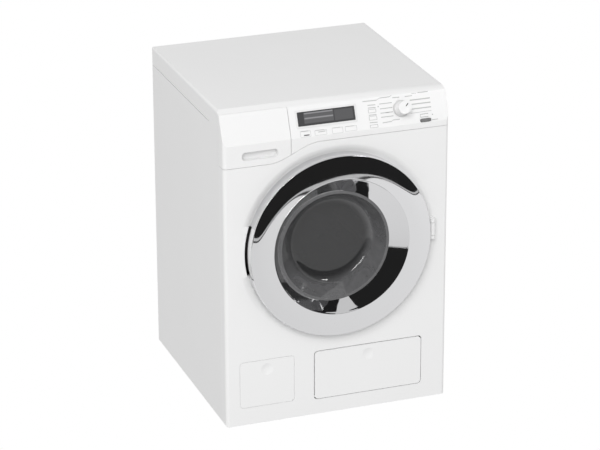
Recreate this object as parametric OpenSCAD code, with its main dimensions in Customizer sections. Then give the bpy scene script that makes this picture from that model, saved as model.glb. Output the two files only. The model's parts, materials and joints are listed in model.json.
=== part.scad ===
/* [Cabinet] */
// Width of the cabinet
cab_w = 186.4; // [180:0.1:200]
// Depth of the cabinet from its front plane to its back
cab_d = 183; // [181:1:210]
// Height of the cabinet shells, without the feet
cab_h = 261.4; // [256:0.1:280]
// Wall of the outer mouldings
wall = 2.5; // [2:0.1:3]
// Radius of the upright front corners
front_corner_r = 3; // [2:0.5:8]
// Radius of the upright back corners
back_corner_r = 2.5; // [2:0.5:8]
// Radius of the long edges of the top
top_edge_r = 2; // [1.5:0.5:9]
// Radius of the long edges of the base
base_edge_r = 1.5; // [0.5:0.5:3]
// Height from the top down to the side seam of the top cover
top_cover_drop = 14.4; // [10:0.1:16]
// Depth of the cheeks of the front mouldings
cheek = 11; // [10.5:0.5:13]
// Width of a visible seam
seam_gap = 0.35; // [0.2:0.05:0.5]
// Height of the groove along the side seam
side_seam_gap = 0.6; // [0.3:0.05:0.8]
// Distance behind the front plane at which the side seam starts to show
side_seam_start = 34; // [20:1:60]
// Distance in front of the back at which the side seam stops
side_seam_end = 5; // [5:1:20]
// Height of the feet under the shells
foot_h = 1.5; // [1:0.5:3]
// Radius of a foot
foot_r = 8; // [5:0.5:10]
// Depth to which a foot sits in the base
foot_seat = 1; // [0.5:0.1:1.5]
// Distance from a foot's centre to the cabinet's sides
foot_inset = 18.7; // [14:0.1:30]

/* [Control panel] */
// Angle by which the control panel leans back
fascia_lean = 22.6; // [15:0.1:30]
// Height of the leaning part of the control panel
fascia_rise = 22.3; // [21:0.1:24]
// Height of the crown between control panel and flat top
crown_drop = 2.8; // [0.8:0.1:4]
// Distance behind the front plane at which the top is flat
crown_end = 17; // [15:0.5:25]
// Radius of the edge between crown and control panel
brow_r = 1.5; // [0.5:0.1:2]
// Height of the upright band under the fold
band_h = 4.8; // [4:0.1:6]
// Drop of the lower seam from right to left
seam_drop = 13.6; // [10:0.1:15]
// Right end of the curved stretch of the lower seam
curve_right_x = -14; // [-25:1:0]
// Left end of the curved stretch of the lower seam
curve_left_x = -56; // [-60:1:-45]
// Seam between the drawer front and the control panel
drawer_split_x = -38; // [-42:1:-36]
// Left edge of the display window
display_x = -31; // [-34:0.5:-28]
// Width of the display window
display_w = 47.3; // [40:0.1:50]
// Height of the display window along the slope
display_h = 11.1; // [9:0.1:12]
// Lower edge of the display window, up the slope from the fold
display_s = 8.7; // [7.5:0.1:9]
// Border of the display bezel
bezel_w = 1.5; // [1:0.1:2]
// Distance of the selector knob from the cabinet's right side
knob_in = 38.6; // [32:0.1:42]
// Place of the selector knob up the slope from the fold
knob_s = 13.1; // [11:0.1:14]
// Radius of the knob's skirt
knob_skirt_r = 6.6; // [6:0.1:8]
// Radius of the knob's grip
knob_grip_r = 5.2; // [4:0.1:5.5]
// Height of the knob above the panel
knob_h = 8.8; // [7:0.1:10]
// Radius of the knob's shaft
knob_shaft_r = 2; // [1.5:0.1:2.5]
// Distance of the start button from the cabinet's right side
start_in = 19.5; // [16:0.1:22]
// Place of the start button up the slope from the fold
start_s = 1.7; // [1.7:0.1:4]
// Width of the start button
start_w = 8.9; // [7:0.1:10]
// Height of the start button
start_h = 2.4; // [2:0.1:2.6]
// Travel of the start button
start_travel = 0.8; // [0.5:0.1:1]
// Gap around the start button
start_gap = 0.25; // [0.2:0.05:0.4]

/* [Door] */
// Sideways place of the door's centre
door_x = 0.5; // [-1:0.1:1]
// Height of the door's centre above the floor
door_z = 146.7; // [144:0.1:149]
// Outer radius of the chrome ring
ring_r = 75; // [72:0.1:76]
// Radius of the ring's sharp inner edge
ring_lip_r = 56.3; // [55:0.1:58]
// Distance that the ring's inner edge stands in front of the cabinet
door_proud = 10; // [9:0.5:12]
// Distance that the ring's outer edge stands in front of the cabinet
ring_edge_p = 8; // [6:0.1:8.5]
// Wall of the chrome ring
ring_wall = 1.5; // [1.2:0.1:2]
// Depth of the chrome ring's outer edge, in front of the frame's rim
ring_skirt = 1.4; // [1.2:0.1:2]
// Radius of the glass opening at the bottom of the funnel
glass_r = 46; // [44:0.1:47]
// Sideways shift of the glass from the door's centre
glass_dx = -2.4; // [-3:0.1:0]
// Upward shift of the glass from the door's centre
glass_dz = -2.8; // [-3:0.1:0]
// Depth of the funnel's end behind the front plane
funnel_depth = 1; // [0.5:0.1:2]
// Depth of the glass bowl behind its rim
bowl_depth = 17; // [12:0.5:18]
// Radius of the bowl's flat bottom
bowl_r = 39; // [34:0.5:41]
// Wall of the glass
glass_wall = 1.8; // [1.5:0.1:2.2]
// Gap between the door and the front plane
door_gap = 0.6; // [0.4:0.1:1]
// Thickness of the door's back frame
frame_t = 2.6; // [2:0.1:3]
// Inner radius of the shallow dish around the door
dish_r = 75.4; // [75.2:0.1:76.8]
// Width of the dish
dish_w = 6.4; // [5:0.1:7]
// Depth of the dish next to the door
dish_d = 2; // [1:0.1:3]
// Height of the finger recess and the hinge above the door's centre
hinge_dz = 2.5; // [0:0.1:4]
// Height of the finger recess
finger_h = 42; // [34:1:46]
// Outer radius of the finger recess
finger_r = 77.3; // [76.8:0.1:80]
// Inner radius of the finger recess
finger_in_r = 67; // [66.5:0.1:70]
// Height of the hinge over both of its posts
hinge_slot_h = 17; // [15:0.5:20]
// Radius of the hinge barrel
hinge_r = 2.3; // [2.1:0.1:2.5]
// Radius of the hinge pin
hinge_pin_r = 1; // [0.8:0.1:1.2]
// Distance of the hinge axis in front of the cabinet
hinge_p = 3; // [2.8:0.1:3.2]
// Distance of the hinge axis beyond the ring's edge
hinge_out = 3.5; // [3.3:0.1:4]

/* [Front openings] */
// Radius of the mouth in the front panel
mouth_r = 58; // [57:0.1:58.5]
// Sideways place of the service flap's centre
flap_x = 26.4; // [20:0.1:30]
// Height of the service flap's lower edge above the floor
flap_z = 14.8; // [12:0.1:18]
// Width of the service flap
flap_w = 90.7; // [80:0.1:95]
// Height of the service flap
flap_h = 41.1; // [38:0.1:44]
// Corner radius of the flaps
flap_r = 3; // [2:0.1:4]
// Gap around the service flap
flap_gap = 0.6; // [0.5:0.05:0.8]
// Thickness of the service flap
flap_t = 2.4; // [2.2:0.1:2.6]
// Distance that the service flap stands in front of the panel
flap_proud = 0.3; // [0.1:0.05:0.3]
// Height of the flap's pins above its lower edge
flap_axis_up = 2.2; // [2:0.1:2.3]
// Distance of the moulded blind flap's centre from the cabinet's left side
blind_in = 34.2; // [30.5:0.1:36.5]
// Height of the blind flap's lower edge above the floor
blind_z = 16; // [14:0.1:18]
// Width of the blind flap
blind_w = 46; // [40:0.1:48]
// Height of the blind flap
blind_h = 40; // [38:0.1:44]
// Width of the groove around the blind flap
groove_w = 0.5; // [0.3:0.1:0.8]
// Depth of the groove around the blind flap
groove_d = 0.5; // [0.3:0.1:0.8]
// Radius of the finger dimples
dimple_r = 5; // [4:0.1:6]
// Depth of the finger dimples
dimple_d = 0.8; // [0.5:0.1:1]
// Distance of the grip slot from the cabinet's left side
grip_in = 15.2; // [10.5:0.1:18.5]
// Width of the grip slot
grip_w = 29.5; // [28:0.5:34]
// Height of the grip slot
grip_h = 7; // [6:0.1:8]
// Radius of the grip slot's corners
grip_r = 3; // [1:0.5:3]
// Height of the grip slot above the low end of the seam
grip_lift = 5.3; // [3.8:0.1:6]
// Depth of the grip pocket
grip_d = 6.5; // [6:0.1:7]

/* [Detergent drawer] */
// Length of the tray behind the front plane
tray_end = 105; // [80:1:120]
// Height of the tray
tray_h = 21; // [15:0.5:21]
// Wall of the tray and its guide
tray_wall = 1.3; // [1:0.1:1.6]
// Running gap around the tray
tray_gap = 0.4; // [0.3:0.05:0.6]
// Radius of the inlet spout under the guide
spout_r = 4; // [3:0.1:5]

/* [Tub and drum] */
// Outer radius of the tub
tub_r = 70; // [69:0.1:70.5]
// Wall of the tub
tub_wall = 2; // [1.5:0.1:2.5]
// Depth of the tub's front wall behind the front plane
tub_front = 10; // [9.5:0.5:12]
// Depth left behind the tub for the gears
gear_room = 33; // [32:1:37]
// Gap between tub and drum
drum_gap = 4; // [3:0.1:5]
// Wall of the drum
drum_wall = 1.6; // [1.2:0.1:2]
// Radius of the drum's mouth
drum_mouth_r = 56; // [54:0.1:57]
// Radius of a hole in the drum
drum_hole_r = 2; // [1:0.1:2.5]
// Rows of holes in the drum
drum_rows = 5; // [3:1:7]
// Holes around the drum in each row
drum_cols = 12; // [8:1:16]
// Height of a drum paddle
paddle_h = 10; // [6:0.5:12]
// Radius of the drum shaft
shaft_r = 3; // [2.5:0.1:3.5]
// Radial running clearance of shafts and pins
run = 0.06; // [0.03:0.01:0.09]

/* [Drive] */
// Gear module
gear_m = 1; // [0.9:0.05:1]
// Teeth of the drum gear
drum_teeth = 72; // [66:6:72]
// Teeth of the middle gear's wheel
middle_teeth = 42; // [36:6:42]
// Teeth of the first gear's wheel
first_teeth = 40; // [36:4:40]
// Teeth of the two gears' pinions
pinion_teeth = 12; // [12:1:13]
// Teeth of the motor pinion
motor_teeth = 10; // [10:1:11]
// Play between meshing teeth
backlash = 0.3; // [0.2:0.05:0.4]
// Radius of the gear axles
axle_r = 1.5; // [1:0.1:2]
// Radius of the motor's can
motor_r = 10; // [8:0.5:11]
// Width of the motor's can across its flats
motor_flat = 15.5; // [13:0.5:18]
// Length of the motor's can
motor_len = 25; // [20:1:30]
// Radius of a battery cell
cell_r = 7; // [6.5:0.05:7.2]
// Length of a battery cell
cell_len = 50.5; // [44:0.5:51]

/* [Drain] */
// Sideways place of the drain pipe
drain_x = -20; // [-28:1:-14]
// Height of the drain outlet above the floor
drain_z = 32; // [28:1:40]
// Outer radius of the drain pipe
drain_r = 4; // [3.5:0.1:5]
// Bore radius of the drain pipe
drain_bore_r = 2.6; // [2:0.1:3]

/* [Hidden] */
$fn = 72;
half_w = cab_w / 2;
front_y = -(cab_d - door_proud) / 2;
back_y = front_y + cab_d;
knob_x = half_w - knob_in;
start_x = half_w - start_in;
grip_x = -half_w + grip_in;
blind_x = -half_w + blind_in;
tub_back = cab_d - gear_room;
base_z = foot_h;
top_z = foot_h + cab_h;
floor_z = base_z + wall;
fascia_top_z = top_z - crown_drop;
fold_z = fascia_top_z - fascia_rise;
fascia_depth = fascia_rise * tan(fascia_lean);
seam_high_z = fold_z - band_h;
seam_low_z = seam_high_z - seam_drop;
top_seam_z = top_z - top_cover_drop;
hinge_x = door_x + ring_r + hinge_out;
hinge_z = door_z + hinge_dz;
over = 1;          // how far a cutting shape runs past what it cuts
weld = 0.5;        // how far a moulded feature runs into the wall that carries it

// ---------------------------------------------------------------- helpers

// Places children on the front plane: x right, y up, z out of the cabinet
module at_front(x, z) {
    translate([x, front_y, z]) rotate([90, 0, 0]) children();
}

// Places children on the leaning panel: x right, y up the slope, z out of it
module on_fascia(x, s) {
    translate([0, front_y, fold_z]) rotate([90 - fascia_lean, 0, 0]) translate([x, s, 0]) children();
}

// Block between two corners
module block(low, high) {
    translate(low) cube(high - low);
}

// Rectangle with one radius for its two low corners and one for its two high ones
module rounded_2d(low, high, r_low, r_high) {
    width = high[0] - low[0];
    translate([low[0], low[1] + r_low]) square([width, high[1] - low[1] - r_low - r_high]);
    translate([low[0] + r_low, low[1]]) square([width - 2 * r_low, r_low]);
    translate([low[0] + r_high, high[1] - r_high]) square([width - 2 * r_high, r_high]);
    for (x = [low[0] + r_low, high[0] - r_low]) translate([x, low[1] + r_low]) circle(r_low);
    for (x = [low[0] + r_high, high[0] - r_high]) translate([x, high[1] - r_high]) circle(r_high);
}

// Plate with round corners, centred, from height z0 to z1
module plate(w, h, r, z0, z1) {
    translate([0, 0, z0]) linear_extrude(z1 - z0) rounded_2d([-w / 2, -h / 2], [w / 2, h / 2], r, r);
}

// Ring or cylinder between two radii, from height z0 to z1
module tube(r_out, r_in, z0, z1) {
    translate([0, 0, z0]) difference() {
        cylinder(r = r_out, h = z1 - z0);
        if (r_in > 0) translate([0, 0, -over]) cylinder(r = r_in, h = z1 - z0 + 2 * over);
    }
}

function arc(centre, r, from, to, steps) =
    [for (i = [0:steps]) let (a = from + (to - from) * i / steps) centre + r * [cos(a), sin(a)]];

// ---------------------------------------------------------------- cabinet shape

crown_lean = 90 - atan(crown_drop / (crown_end - fascia_depth));

// Outward direction of a face that leans back by an angle, from 0 for upright to 90 for flat
function faces(lean) = [-cos(lean), sin(lean)];

// Corner p of two such faces, moved inwards by inset
function corner(p, lean1, lean2, inset) =
    p - inset * (faces(lean1) + faces(lean2)) / (1 + cos(lean2 - lean1));

// Radius of an outer edge inside the wall, at least a small one
function inner_r(r, inset) = max(r - inset, 0.3);

// Side view of the cabinet, seen from its right and drawn smaller by inset
module side_outline(inset) {
    low = base_z + inset;
    knee = corner([front_y, fold_z], 0, fascia_lean, inset);
    brow_at = [front_y + fascia_depth, fascia_top_z];
    brow = inset < brow_r
        ? arc(corner(brow_at, fascia_lean, crown_lean, brow_r), brow_r - inset,
              180 - fascia_lean, 180 - crown_lean, 4)
        : [corner(brow_at, fascia_lean, crown_lean, inset)];
    top_start = corner([front_y + crown_end, top_z], crown_lean, 90, inset);
    back_r = inner_r(top_edge_r, inset);
    back = arc([back_y - inset - back_r, top_z - inset - back_r], back_r, 90, 0, 6);
    polygon(concat([[front_y + inset, low], knee], brow, [top_start], back, [[back_y - inset, low]]));
}

// Outer body of the cabinet, drawn smaller by inset
module cabinet_body(inset) {
    intersection() {
        translate([0, back_y + over, 0]) rotate([90, 0, 0]) linear_extrude(cab_d + 2 * over)
            rounded_2d([-half_w + inset, base_z + inset], [half_w - inset, top_z - inset],
                       inner_r(base_edge_r, inset), inner_r(top_edge_r, inset));
        linear_extrude(top_z + over)
            rounded_2d([-half_w + inset, front_y + inset], [half_w - inset, back_y - inset],
                       inner_r(front_corner_r, inset), inner_r(back_corner_r, inset));
        rotate([90, 0, 90]) linear_extrude(cab_w + 2 * over, center = true) side_outline(inset);
    }
}

module cabinet_shell() {
    difference() {
        cabinet_body(0);
        cabinet_body(wall);
    }
}

// Height of the lower seam of the control panel, an S from low at the left to high at the right
function seam_z(x) =
    let (t = min(1, max(0, (x - curve_left_x) / (curve_right_x - curve_left_x))))
    seam_low_z + seam_drop * t * t * (3 - 2 * t);

seam_steps = 14;
function seam_points(lift) =
    [for (i = [0:seam_steps])
        let (x = curve_left_x + (curve_right_x - curve_left_x) * i / seam_steps) [x, seam_z(x) + lift]];

// Everything in the cheek zone above (or below) the lower seam
module seam_zone(above, lift, depth) {
    far_z = above ? top_z + over : base_z - over;
    side_x = half_w + over;
    translate([0, front_y + depth, 0]) rotate([90, 0, 0]) linear_extrude(depth + over)
        polygon(concat([[side_x, seam_high_z + lift], [side_x, far_z], [-side_x, far_z],
                        [-side_x, seam_low_z + lift]], seam_points(lift)));
}

// ---------------------------------------------------------------- cabinet mouldings

rear_w = cab_w - 17;
rear_z0 = base_z + 12.5;
rear_z1 = top_seam_z - 7;
rear_t = 2;
rear_lip = 6;
rear_mid_z = (rear_z0 + rear_z1) / 2;
rear_screw_r = 1;
rear_head_r = 2.4;
rear_head_t = 1.2;
rear_screw_len = 9;
rear_screw_inset = 4;

// Places of the six rear screws
module at_rear_screws() {
    for (x = [-1, 1] * (rear_w / 2 - rear_screw_inset))
        for (z = [rear_z0 + rear_screw_inset, rear_mid_z, rear_z1 - rear_screw_inset])
            translate([x, back_y, z]) rotate([-90, 0, 0]) children();
}

module housing() {
    flange_y = back_y - rear_t;
    color("white") difference() {
        union() {
            intersection() {
                cabinet_shell();
                block([-half_w - over, front_y + cheek, base_z - over],
                      [half_w + over, back_y + over, top_seam_z]);
            }
            block([-rear_w / 2 - 3, flange_y - wall, rear_z0 - 3], [rear_w / 2 + 3, flange_y, rear_z1 + 3]);
            at_rear_screws() tube(3, 0, -rear_screw_len - 2, -rear_t);
        }
        block([-rear_w / 2, flange_y, rear_z0], [rear_w / 2, back_y + over, rear_z1]);
        block([-rear_w / 2 + rear_lip, flange_y - wall - over, rear_z0 + rear_lip],
              [rear_w / 2 - rear_lip, back_y + over, rear_z1 - rear_lip]);
        at_rear_screws() tube(rear_screw_r, 0, -rear_screw_len, over);
        for (side = [-1, 1])
            block([side * half_w - wall - over, front_y + side_seam_start, top_seam_z - side_seam_gap],
                  [side * half_w + wall + over, back_y - side_seam_end, top_seam_z + over]);
        translate([drain_x, flange_y, drain_z]) rotate([90, 0, 0])
            tube(cup_r + cup_wall + 0.3, 0, -over, wall + over);
        at_feet() tube(foot_r, 0, base_z - over, base_z + foot_seat);
    }
}

module top_cover() {
    color("white") intersection() {
        cabinet_shell();
        block([-half_w - over, front_y + cheek, top_seam_z], [half_w + over, back_y + over, top_z + over]);
    }
}

speaker_r = 14;
speaker_t = 6;
speaker_x = rear_w / 2 - rear_lip - speaker_r - 6;
speaker_z = rear_z1 - rear_lip - speaker_r - 16.5;
vent_in = 22;
vent_len = 45;
cup_r = 12;
cup_depth = 9;
cup_wall = 1.5;

module rear_cover() {
    gap = 0.2;
    color("whitesmoke") difference() {
        union() {
            block([-rear_w / 2 + gap, back_y - rear_t, rear_z0 + gap],
                  [rear_w / 2 - gap, back_y, rear_z1 - gap]);
            translate([drain_x, back_y, drain_z]) rotate([-90, 0, 0])
                tube(cup_r + cup_wall, 0, -cup_depth - cup_wall, 0);
        }
        translate([drain_x, back_y, drain_z]) rotate([-90, 0, 0]) {
            tube(cup_r, 0, -cup_depth, over);
            tube(drain_r, 0, -cup_depth - cup_wall - over, -cup_depth + over);
        }
        at_rear_screws() {
            tube(rear_screw_r + 0.1, 0, -rear_t - over, over);
            tube(rear_head_r + 0.1, 0, -rear_head_t, over);
        }
        translate([speaker_x, back_y, speaker_z]) rotate([90, 0, 0]) {
            tube(1.4, 0, -over, rear_t + over);
            for (a = [0:60:300]) rotate(a) translate([5, 0, 0]) tube(1.4, 0, -over, rear_t + over);
            for (a = [0:30:330]) rotate(a) translate([10, 0, 0]) tube(1.4, 0, -over, rear_t + over);
        }
        for (i = [0:4])
            block([-rear_w / 2 + vent_in, back_y - rear_t - over, rear_z1 - vent_in - 2 - 7 * i],
                  [-rear_w / 2 + vent_in + vent_len, back_y + over, rear_z1 - vent_in + 0.5 - 7 * i]);
    }
}

module rear_screws() {
    color("silver") at_rear_screws() {
        tube(rear_screw_r, 0, -rear_screw_len, -rear_head_t);
        difference() {
            tube(rear_head_r, 0, -rear_head_t, 0);
            for (a = [0, 90]) rotate(a) block([-1.4, -0.3, -0.6], [1.4, 0.3, over]);
        }
    }
}

module at_feet() {
    for (x = [-1, 1] * (half_w - foot_inset))
        for (y = [front_y + cheek + foot_r + 1, back_y - foot_inset])
            translate([x, y, 0]) children();
}

module feet() {
    color("dimgray") at_feet() tube(foot_r, 0, 0, foot_h + foot_seat);
}

// ---------------------------------------------------------------- front panel

// Shallow dish around the door: from its floor next to the door it rises to the panel
module door_dish() {
    floor_w = 0.6;
    rotate_extrude() polygon([
        [dish_r, over], [dish_r, -dish_d], [dish_r + floor_w, -dish_d],
        [dish_r + dish_w, 0], [dish_r + dish_w, over]]);
}

// Band of height h around the hinge's level, on the side given by -1 or 1
module level_band(side, h, z0, z1) {
    translate([side * 75, hinge_dz, (z0 + z1) / 2]) cube([50, h, z1 - z0], center = true);
}

lug_h = 3;
pin_play = 0.3;

// Shape that turns around the hinge axis and reaches back to the panel
module hinge_post(z0, z1, reach) {
    translate([hinge_x, front_y - hinge_p, z0]) cylinder(r = hinge_r, h = z1 - z0);
    block([hinge_x - hinge_r, front_y - hinge_p, z0], [hinge_x + hinge_r, front_y + reach, z1]);
}

module flap_opening() {
    at_front(flap_x, flap_z + flap_h / 2)
        plate(flap_w + 2 * flap_gap, flap_h + 2 * flap_gap, flap_r, -wall - over, over);
}

flap_axis_p = -flap_t / 2 + flap_proud;
flap_axis_z = flap_z + flap_axis_up;
flap_pin_r = 0.7;
flap_pin_in = 1.5;

// Dish with radius r and depth d, sunk into the plane z = 0
module dimple(r, d) {
    ball = (r * r + d * d) / (2 * d);
    translate([0, 0, ball - d]) sphere(r = ball, $fn = 96);
}

dimple_drop = 8.5;
latch_x = door_x - 62.2;
latch_w = 2.5;
latch_h = 8;
latch_play = 1;

module front_panel() {
    half_slot = hinge_slot_h / 2;
    color("white") difference() {
        union() {
            difference() {
                union() {
                    intersection() {
                        cabinet_shell();
                        seam_zone(false, 0, cheek);
                    }
                    at_front(door_x, door_z)
                        tube(dish_r + dish_w, dish_r - wall, -wall - dish_d, -wall + weld);
                }
                at_front(door_x, door_z) {
                    tube(mouth_r, 0, -wall - over, over);
                    difference() {
                        door_dish();
                        level_band(-1, finger_h, -wall, 2 * over);
                    }
                    intersection() {
                        tube(finger_r, finger_in_r, -wall - dish_d - over, over);
                        level_band(-1, finger_h, -wall - dish_d - 2 * over, 2 * over);
                    }
                }
                flap_opening();
            }
            for (side = [-1, 1])
                hinge_post(hinge_z + side * (half_slot - lug_h / 2) - lug_h / 2,
                           hinge_z + side * (half_slot - lug_h / 2) + lug_h / 2, dish_d + weld);
        }
        translate([hinge_x, front_y - hinge_p, hinge_z - half_slot + 0.8])
            cylinder(r = hinge_pin_r, h = hinge_slot_h - 1.6);
        translate([flap_x, front_y - flap_axis_p, flap_axis_z]) rotate([0, 90, 0])
            translate([0, 0, -flap_w / 2 - flap_gap - flap_pin_in - 0.3])
                cylinder(r = flap_pin_r + run, h = flap_w + 2 * (flap_gap + flap_pin_in + 0.3));
        at_front(blind_x, blind_z + blind_h / 2) difference() {
            plate(blind_w, blind_h, flap_r, -groove_d, over);
            plate(blind_w - 2 * groove_w, blind_h - 2 * groove_w, flap_r - groove_w, -wall, 2 * over);
        }
        at_front(blind_x, blind_z + blind_h - dimple_drop) dimple(dimple_r, dimple_d);
        block([latch_x - latch_w / 2 - latch_play, front_y - over, hinge_z - latch_h / 2 - latch_play],
              [latch_x + latch_w / 2 + latch_play, front_y + wall + over, hinge_z + latch_h / 2 + latch_play]);
    }
}

// ---------------------------------------------------------------- control panel

board_n = 8;
board_t = 1.6;
board_s0 = 0.5;
board_s1 = 23.5;
board_x0 = drawer_split_x + 4;
board_x1 = half_w - 4.5;
bezel_t = 0.5;
display_mid_x = display_x + display_w / 2;
display_mid_s = display_s + display_h / 2;

module fascia() {
    color("white") difference() {
        union() {
            intersection() {
                union() {
                    cabinet_shell();
                    intersection() {
                        cabinet_body(0);
                        block([drawer_split_x, front_y - over, base_z],
                              [drawer_split_x + wall, front_y + cheek, top_z]);
                    }
                }
                seam_zone(true, seam_gap, cheek);
                block([drawer_split_x + seam_gap / 2, front_y - over, base_z],
                      [half_w + over, front_y + cheek, top_z + over]);
            }
            for (x = [board_x0 + 3, board_x1 - 3])
                on_fascia(x, 3) tube(2, 0, -board_n, -wall + weld);
            on_fascia(board_x1 - 3, 20) tube(2, 0, -board_n, -wall + weld);
        }
        on_fascia(display_mid_x, display_mid_s)
            plate(display_w + 1, display_h + 1, 0.8, -wall - over, over);
        on_fascia(knob_x, knob_s) tube(knob_shaft_r + run, 0, -wall - over, over);
        on_fascia(start_x, start_s)
            plate(start_w + 2 * start_gap, start_h + 2 * start_gap, start_h / 2, -wall - over, over);
    }
}

module display_bezel() {
    color("gainsboro") on_fascia(display_mid_x, display_mid_s) difference() {
        union() {
            plate(display_w + 2 * bezel_w, display_h + 2 * bezel_w, 1.2, 0, bezel_t);
            plate(display_w + 1, display_h + 1, 0.8, -wall, weld);
        }
        plate(display_w, display_h, 0.5, -wall - over, bezel_t + over);
    }
}

module display_lens() {
    color("dimgray", 0.6) on_fascia(display_mid_x, display_mid_s)
        plate(display_w, display_h, 0.5, -1.4, -0.2);
}

module display_module() {
    color("darkslategray") on_fascia(display_mid_x, display_mid_s) {
        plate(display_w - 1, display_h - 1, 0.5, -wall - weld, -1.6);
        plate(display_w + 3, display_h + 2, 0.5, -board_n, -wall);
    }
}

module circuit_board() {
    color("darkgreen") on_fascia(0, 0)
        block([board_x0, board_s0, -board_n - board_t], [board_x1, board_s1, -board_n]);
}

switch_r = 5.5;
switch_top_n = 3.2;

module rotary_switch() {
    color("dimgray") on_fascia(knob_x, knob_s) difference() {
        tube(switch_r, 0, -board_n, -switch_top_n);
        tube(knob_shaft_r + run, 0, -board_n + 1, over);
    }
}

module knob_shaft() {
    color("silver") on_fascia(knob_x, knob_s) tube(knob_shaft_r, 0, -board_n + 1.4, knob_h - 2.5);
}

knob_play = 0.35;
skirt_t = 1.6;

module selector_knob() {
    color("gainsboro") on_fascia(knob_x, knob_s) difference() {
        union() {
            translate([0, 0, knob_play])
                cylinder(r1 = knob_skirt_r, r2 = knob_skirt_r - 0.4, h = skirt_t);
            translate([0, 0, knob_play + skirt_t])
                cylinder(r1 = knob_grip_r + 0.2, r2 = knob_grip_r - 0.2, h = knob_h - knob_play - skirt_t);
        }
        tube(knob_shaft_r, 0, -over, knob_h - 2.5);
        rotate(45) block([1.5, -0.4, knob_h - 0.4], [knob_grip_r - 0.8, 0.4, knob_h + over]);
    }
}

start_flange = 0.9;
start_flange_t = 1.2;
start_flange_n = -wall - start_gap - start_flange_t;
start_proud = 0.6;

module start_button() {
    color("gray") on_fascia(start_x, start_s) {
        plate(start_w, start_h, start_h / 2 - 0.05, -wall - weld, start_proud);
        plate(start_w + 2 * start_flange, start_h, start_h / 2 - 0.1, start_flange_n, -wall - start_gap);
    }
}

module start_switch() {
    color("silver") on_fascia(start_x, start_s) {
        plate(6, start_h, 0.5, -board_n, -board_n + board_t);
        tube(start_h / 2 - 0.1, 0, -board_n + board_t, start_flange_n - start_travel - 0.05);
    }
}

module speaker() {
    color("dimgray") translate([speaker_x, back_y - rear_t, speaker_z]) rotate([90, 0, 0]) {
        tube(speaker_r, speaker_r - 2, 0, speaker_t);
        translate([0, 0, 1.5])
            cylinder(r1 = speaker_r - 2, r2 = 5, h = speaker_t - 1.5);
    }
}

// ---------------------------------------------------------------- detergent drawer

guide_x0 = -half_w + wall;
guide_x1 = drawer_split_x - 4.3;
guide_z0 = seam_low_z + 1.8;
guide_y0 = front_y + cheek + 0.2;
guide_y1 = front_y + tray_end + 8;
tray_x0 = guide_x0 + tray_wall + tray_gap;
tray_x1 = guide_x1 - tray_wall - tray_gap;
tray_z0 = guide_z0 + tray_wall + tray_gap;
tray_y0 = front_y + grip_d;
tray_y1 = front_y + tray_end;
guide_z1 = tray_z0 + tray_h + tray_gap + tray_wall;
spout_x = (guide_x0 + guide_x1) / 2 + 12;
spout_y = front_y + 60;
spout_end_z = door_z + sqrt(pow(tub_r, 2) - pow(spout_x - door_x, 2)) - tub_wall;

module drawer_guide() {
    color("whitesmoke") difference() {
        union() {
            block([guide_x0, guide_y0, guide_z0], [guide_x1, guide_y1, guide_z1]);
            translate([spout_x, spout_y, 0]) tube(spout_r, 0, spout_end_z, guide_z0 + weld);
        }
        block([guide_x0 + tray_wall, guide_y0 - over, guide_z0 + tray_wall],
              [guide_x1 - tray_wall, guide_y1 - tray_wall, guide_z1 - tray_wall]);
        translate([spout_x, spout_y, 0]) tube(spout_r - 1.2, 0, spout_end_z - over, guide_z0 + 2 * tray_wall);
    }
}

grip_z0 = seam_low_z + grip_lift;
grip_wall = 1.2;

module drawer_front() {
    back = cheek - seam_gap;
    color("white") difference() {
        union() {
            intersection() {
                cabinet_shell();
                seam_zone(true, seam_gap, back);
                block([-half_w - over, front_y - over, base_z],
                      [drawer_split_x - seam_gap / 2, front_y + back, top_z + over]);
            }
            block([grip_x - grip_wall, front_y + weld, grip_z0 - grip_wall],
                  [grip_x + grip_w + grip_wall, front_y + grip_d, grip_z0 + grip_h + grip_wall]);
            for (x = [tray_x0 + 4, tray_x1 - 4])
                translate([x, front_y, fold_z - 3]) rotate([-90, 0, 0]) tube(2.2, 0, weld, grip_d);
        }
        at_front(grip_x + grip_w / 2, grip_z0 + grip_h / 2)
            plate(grip_w, grip_h, grip_r, grip_wall - grip_d, over);
    }
}

tray_split_x = tray_x0 + 0.6 * (tray_x1 - tray_x0);
tray_split_y = tray_y0 + 0.45 * (tray_y1 - tray_y0);

module drawer_tray() {
    top = tray_z0 + tray_h;
    color("lightsteelblue") difference() {
        block([tray_x0, tray_y0, tray_z0], [tray_x1, tray_y1, top]);
        block([tray_x0 + tray_wall, tray_y0 + tray_wall, tray_z0 + tray_wall],
              [tray_split_x, tray_split_y, top + over]);
        block([tray_x0 + tray_wall, tray_split_y + tray_wall, tray_z0 + tray_wall],
              [tray_split_x, tray_y1 - tray_wall, top + over]);
        block([tray_split_x + tray_wall, tray_y0 + tray_wall, tray_z0 + tray_wall],
              [tray_x1 - tray_wall, tray_y1 - tray_wall, top + over]);
    }
}

// ---------------------------------------------------------------- service flap and batteries

tongue_w = 8;
tongue_t = 1.5;
tongue_len = 5;
tongue_drop = 1.8;
tongue_z1 = flap_z + flap_h - tongue_drop;

module service_flap() {
    color("white") difference() {
        union() {
            at_front(flap_x, flap_z + flap_h / 2)
                plate(flap_w, flap_h, flap_r, flap_proud - flap_t, flap_proud);
            translate([flap_x, front_y - flap_axis_p, flap_axis_z]) rotate([0, 90, 0])
                tube(flap_pin_r, 0, -flap_w / 2 - flap_gap - flap_pin_in, flap_w / 2 + flap_gap + flap_pin_in);
            block([flap_x - tongue_w / 2, front_y - flap_axis_p, tongue_z1 - tongue_t],
                  [flap_x + tongue_w / 2, front_y - flap_axis_p + flap_t / 2 + tongue_len, tongue_z1]);
        }
        at_front(flap_x, flap_z + flap_h - dimple_drop)
            translate([0, 0, flap_proud]) dimple(dimple_r, dimple_d);
    }
}

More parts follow.
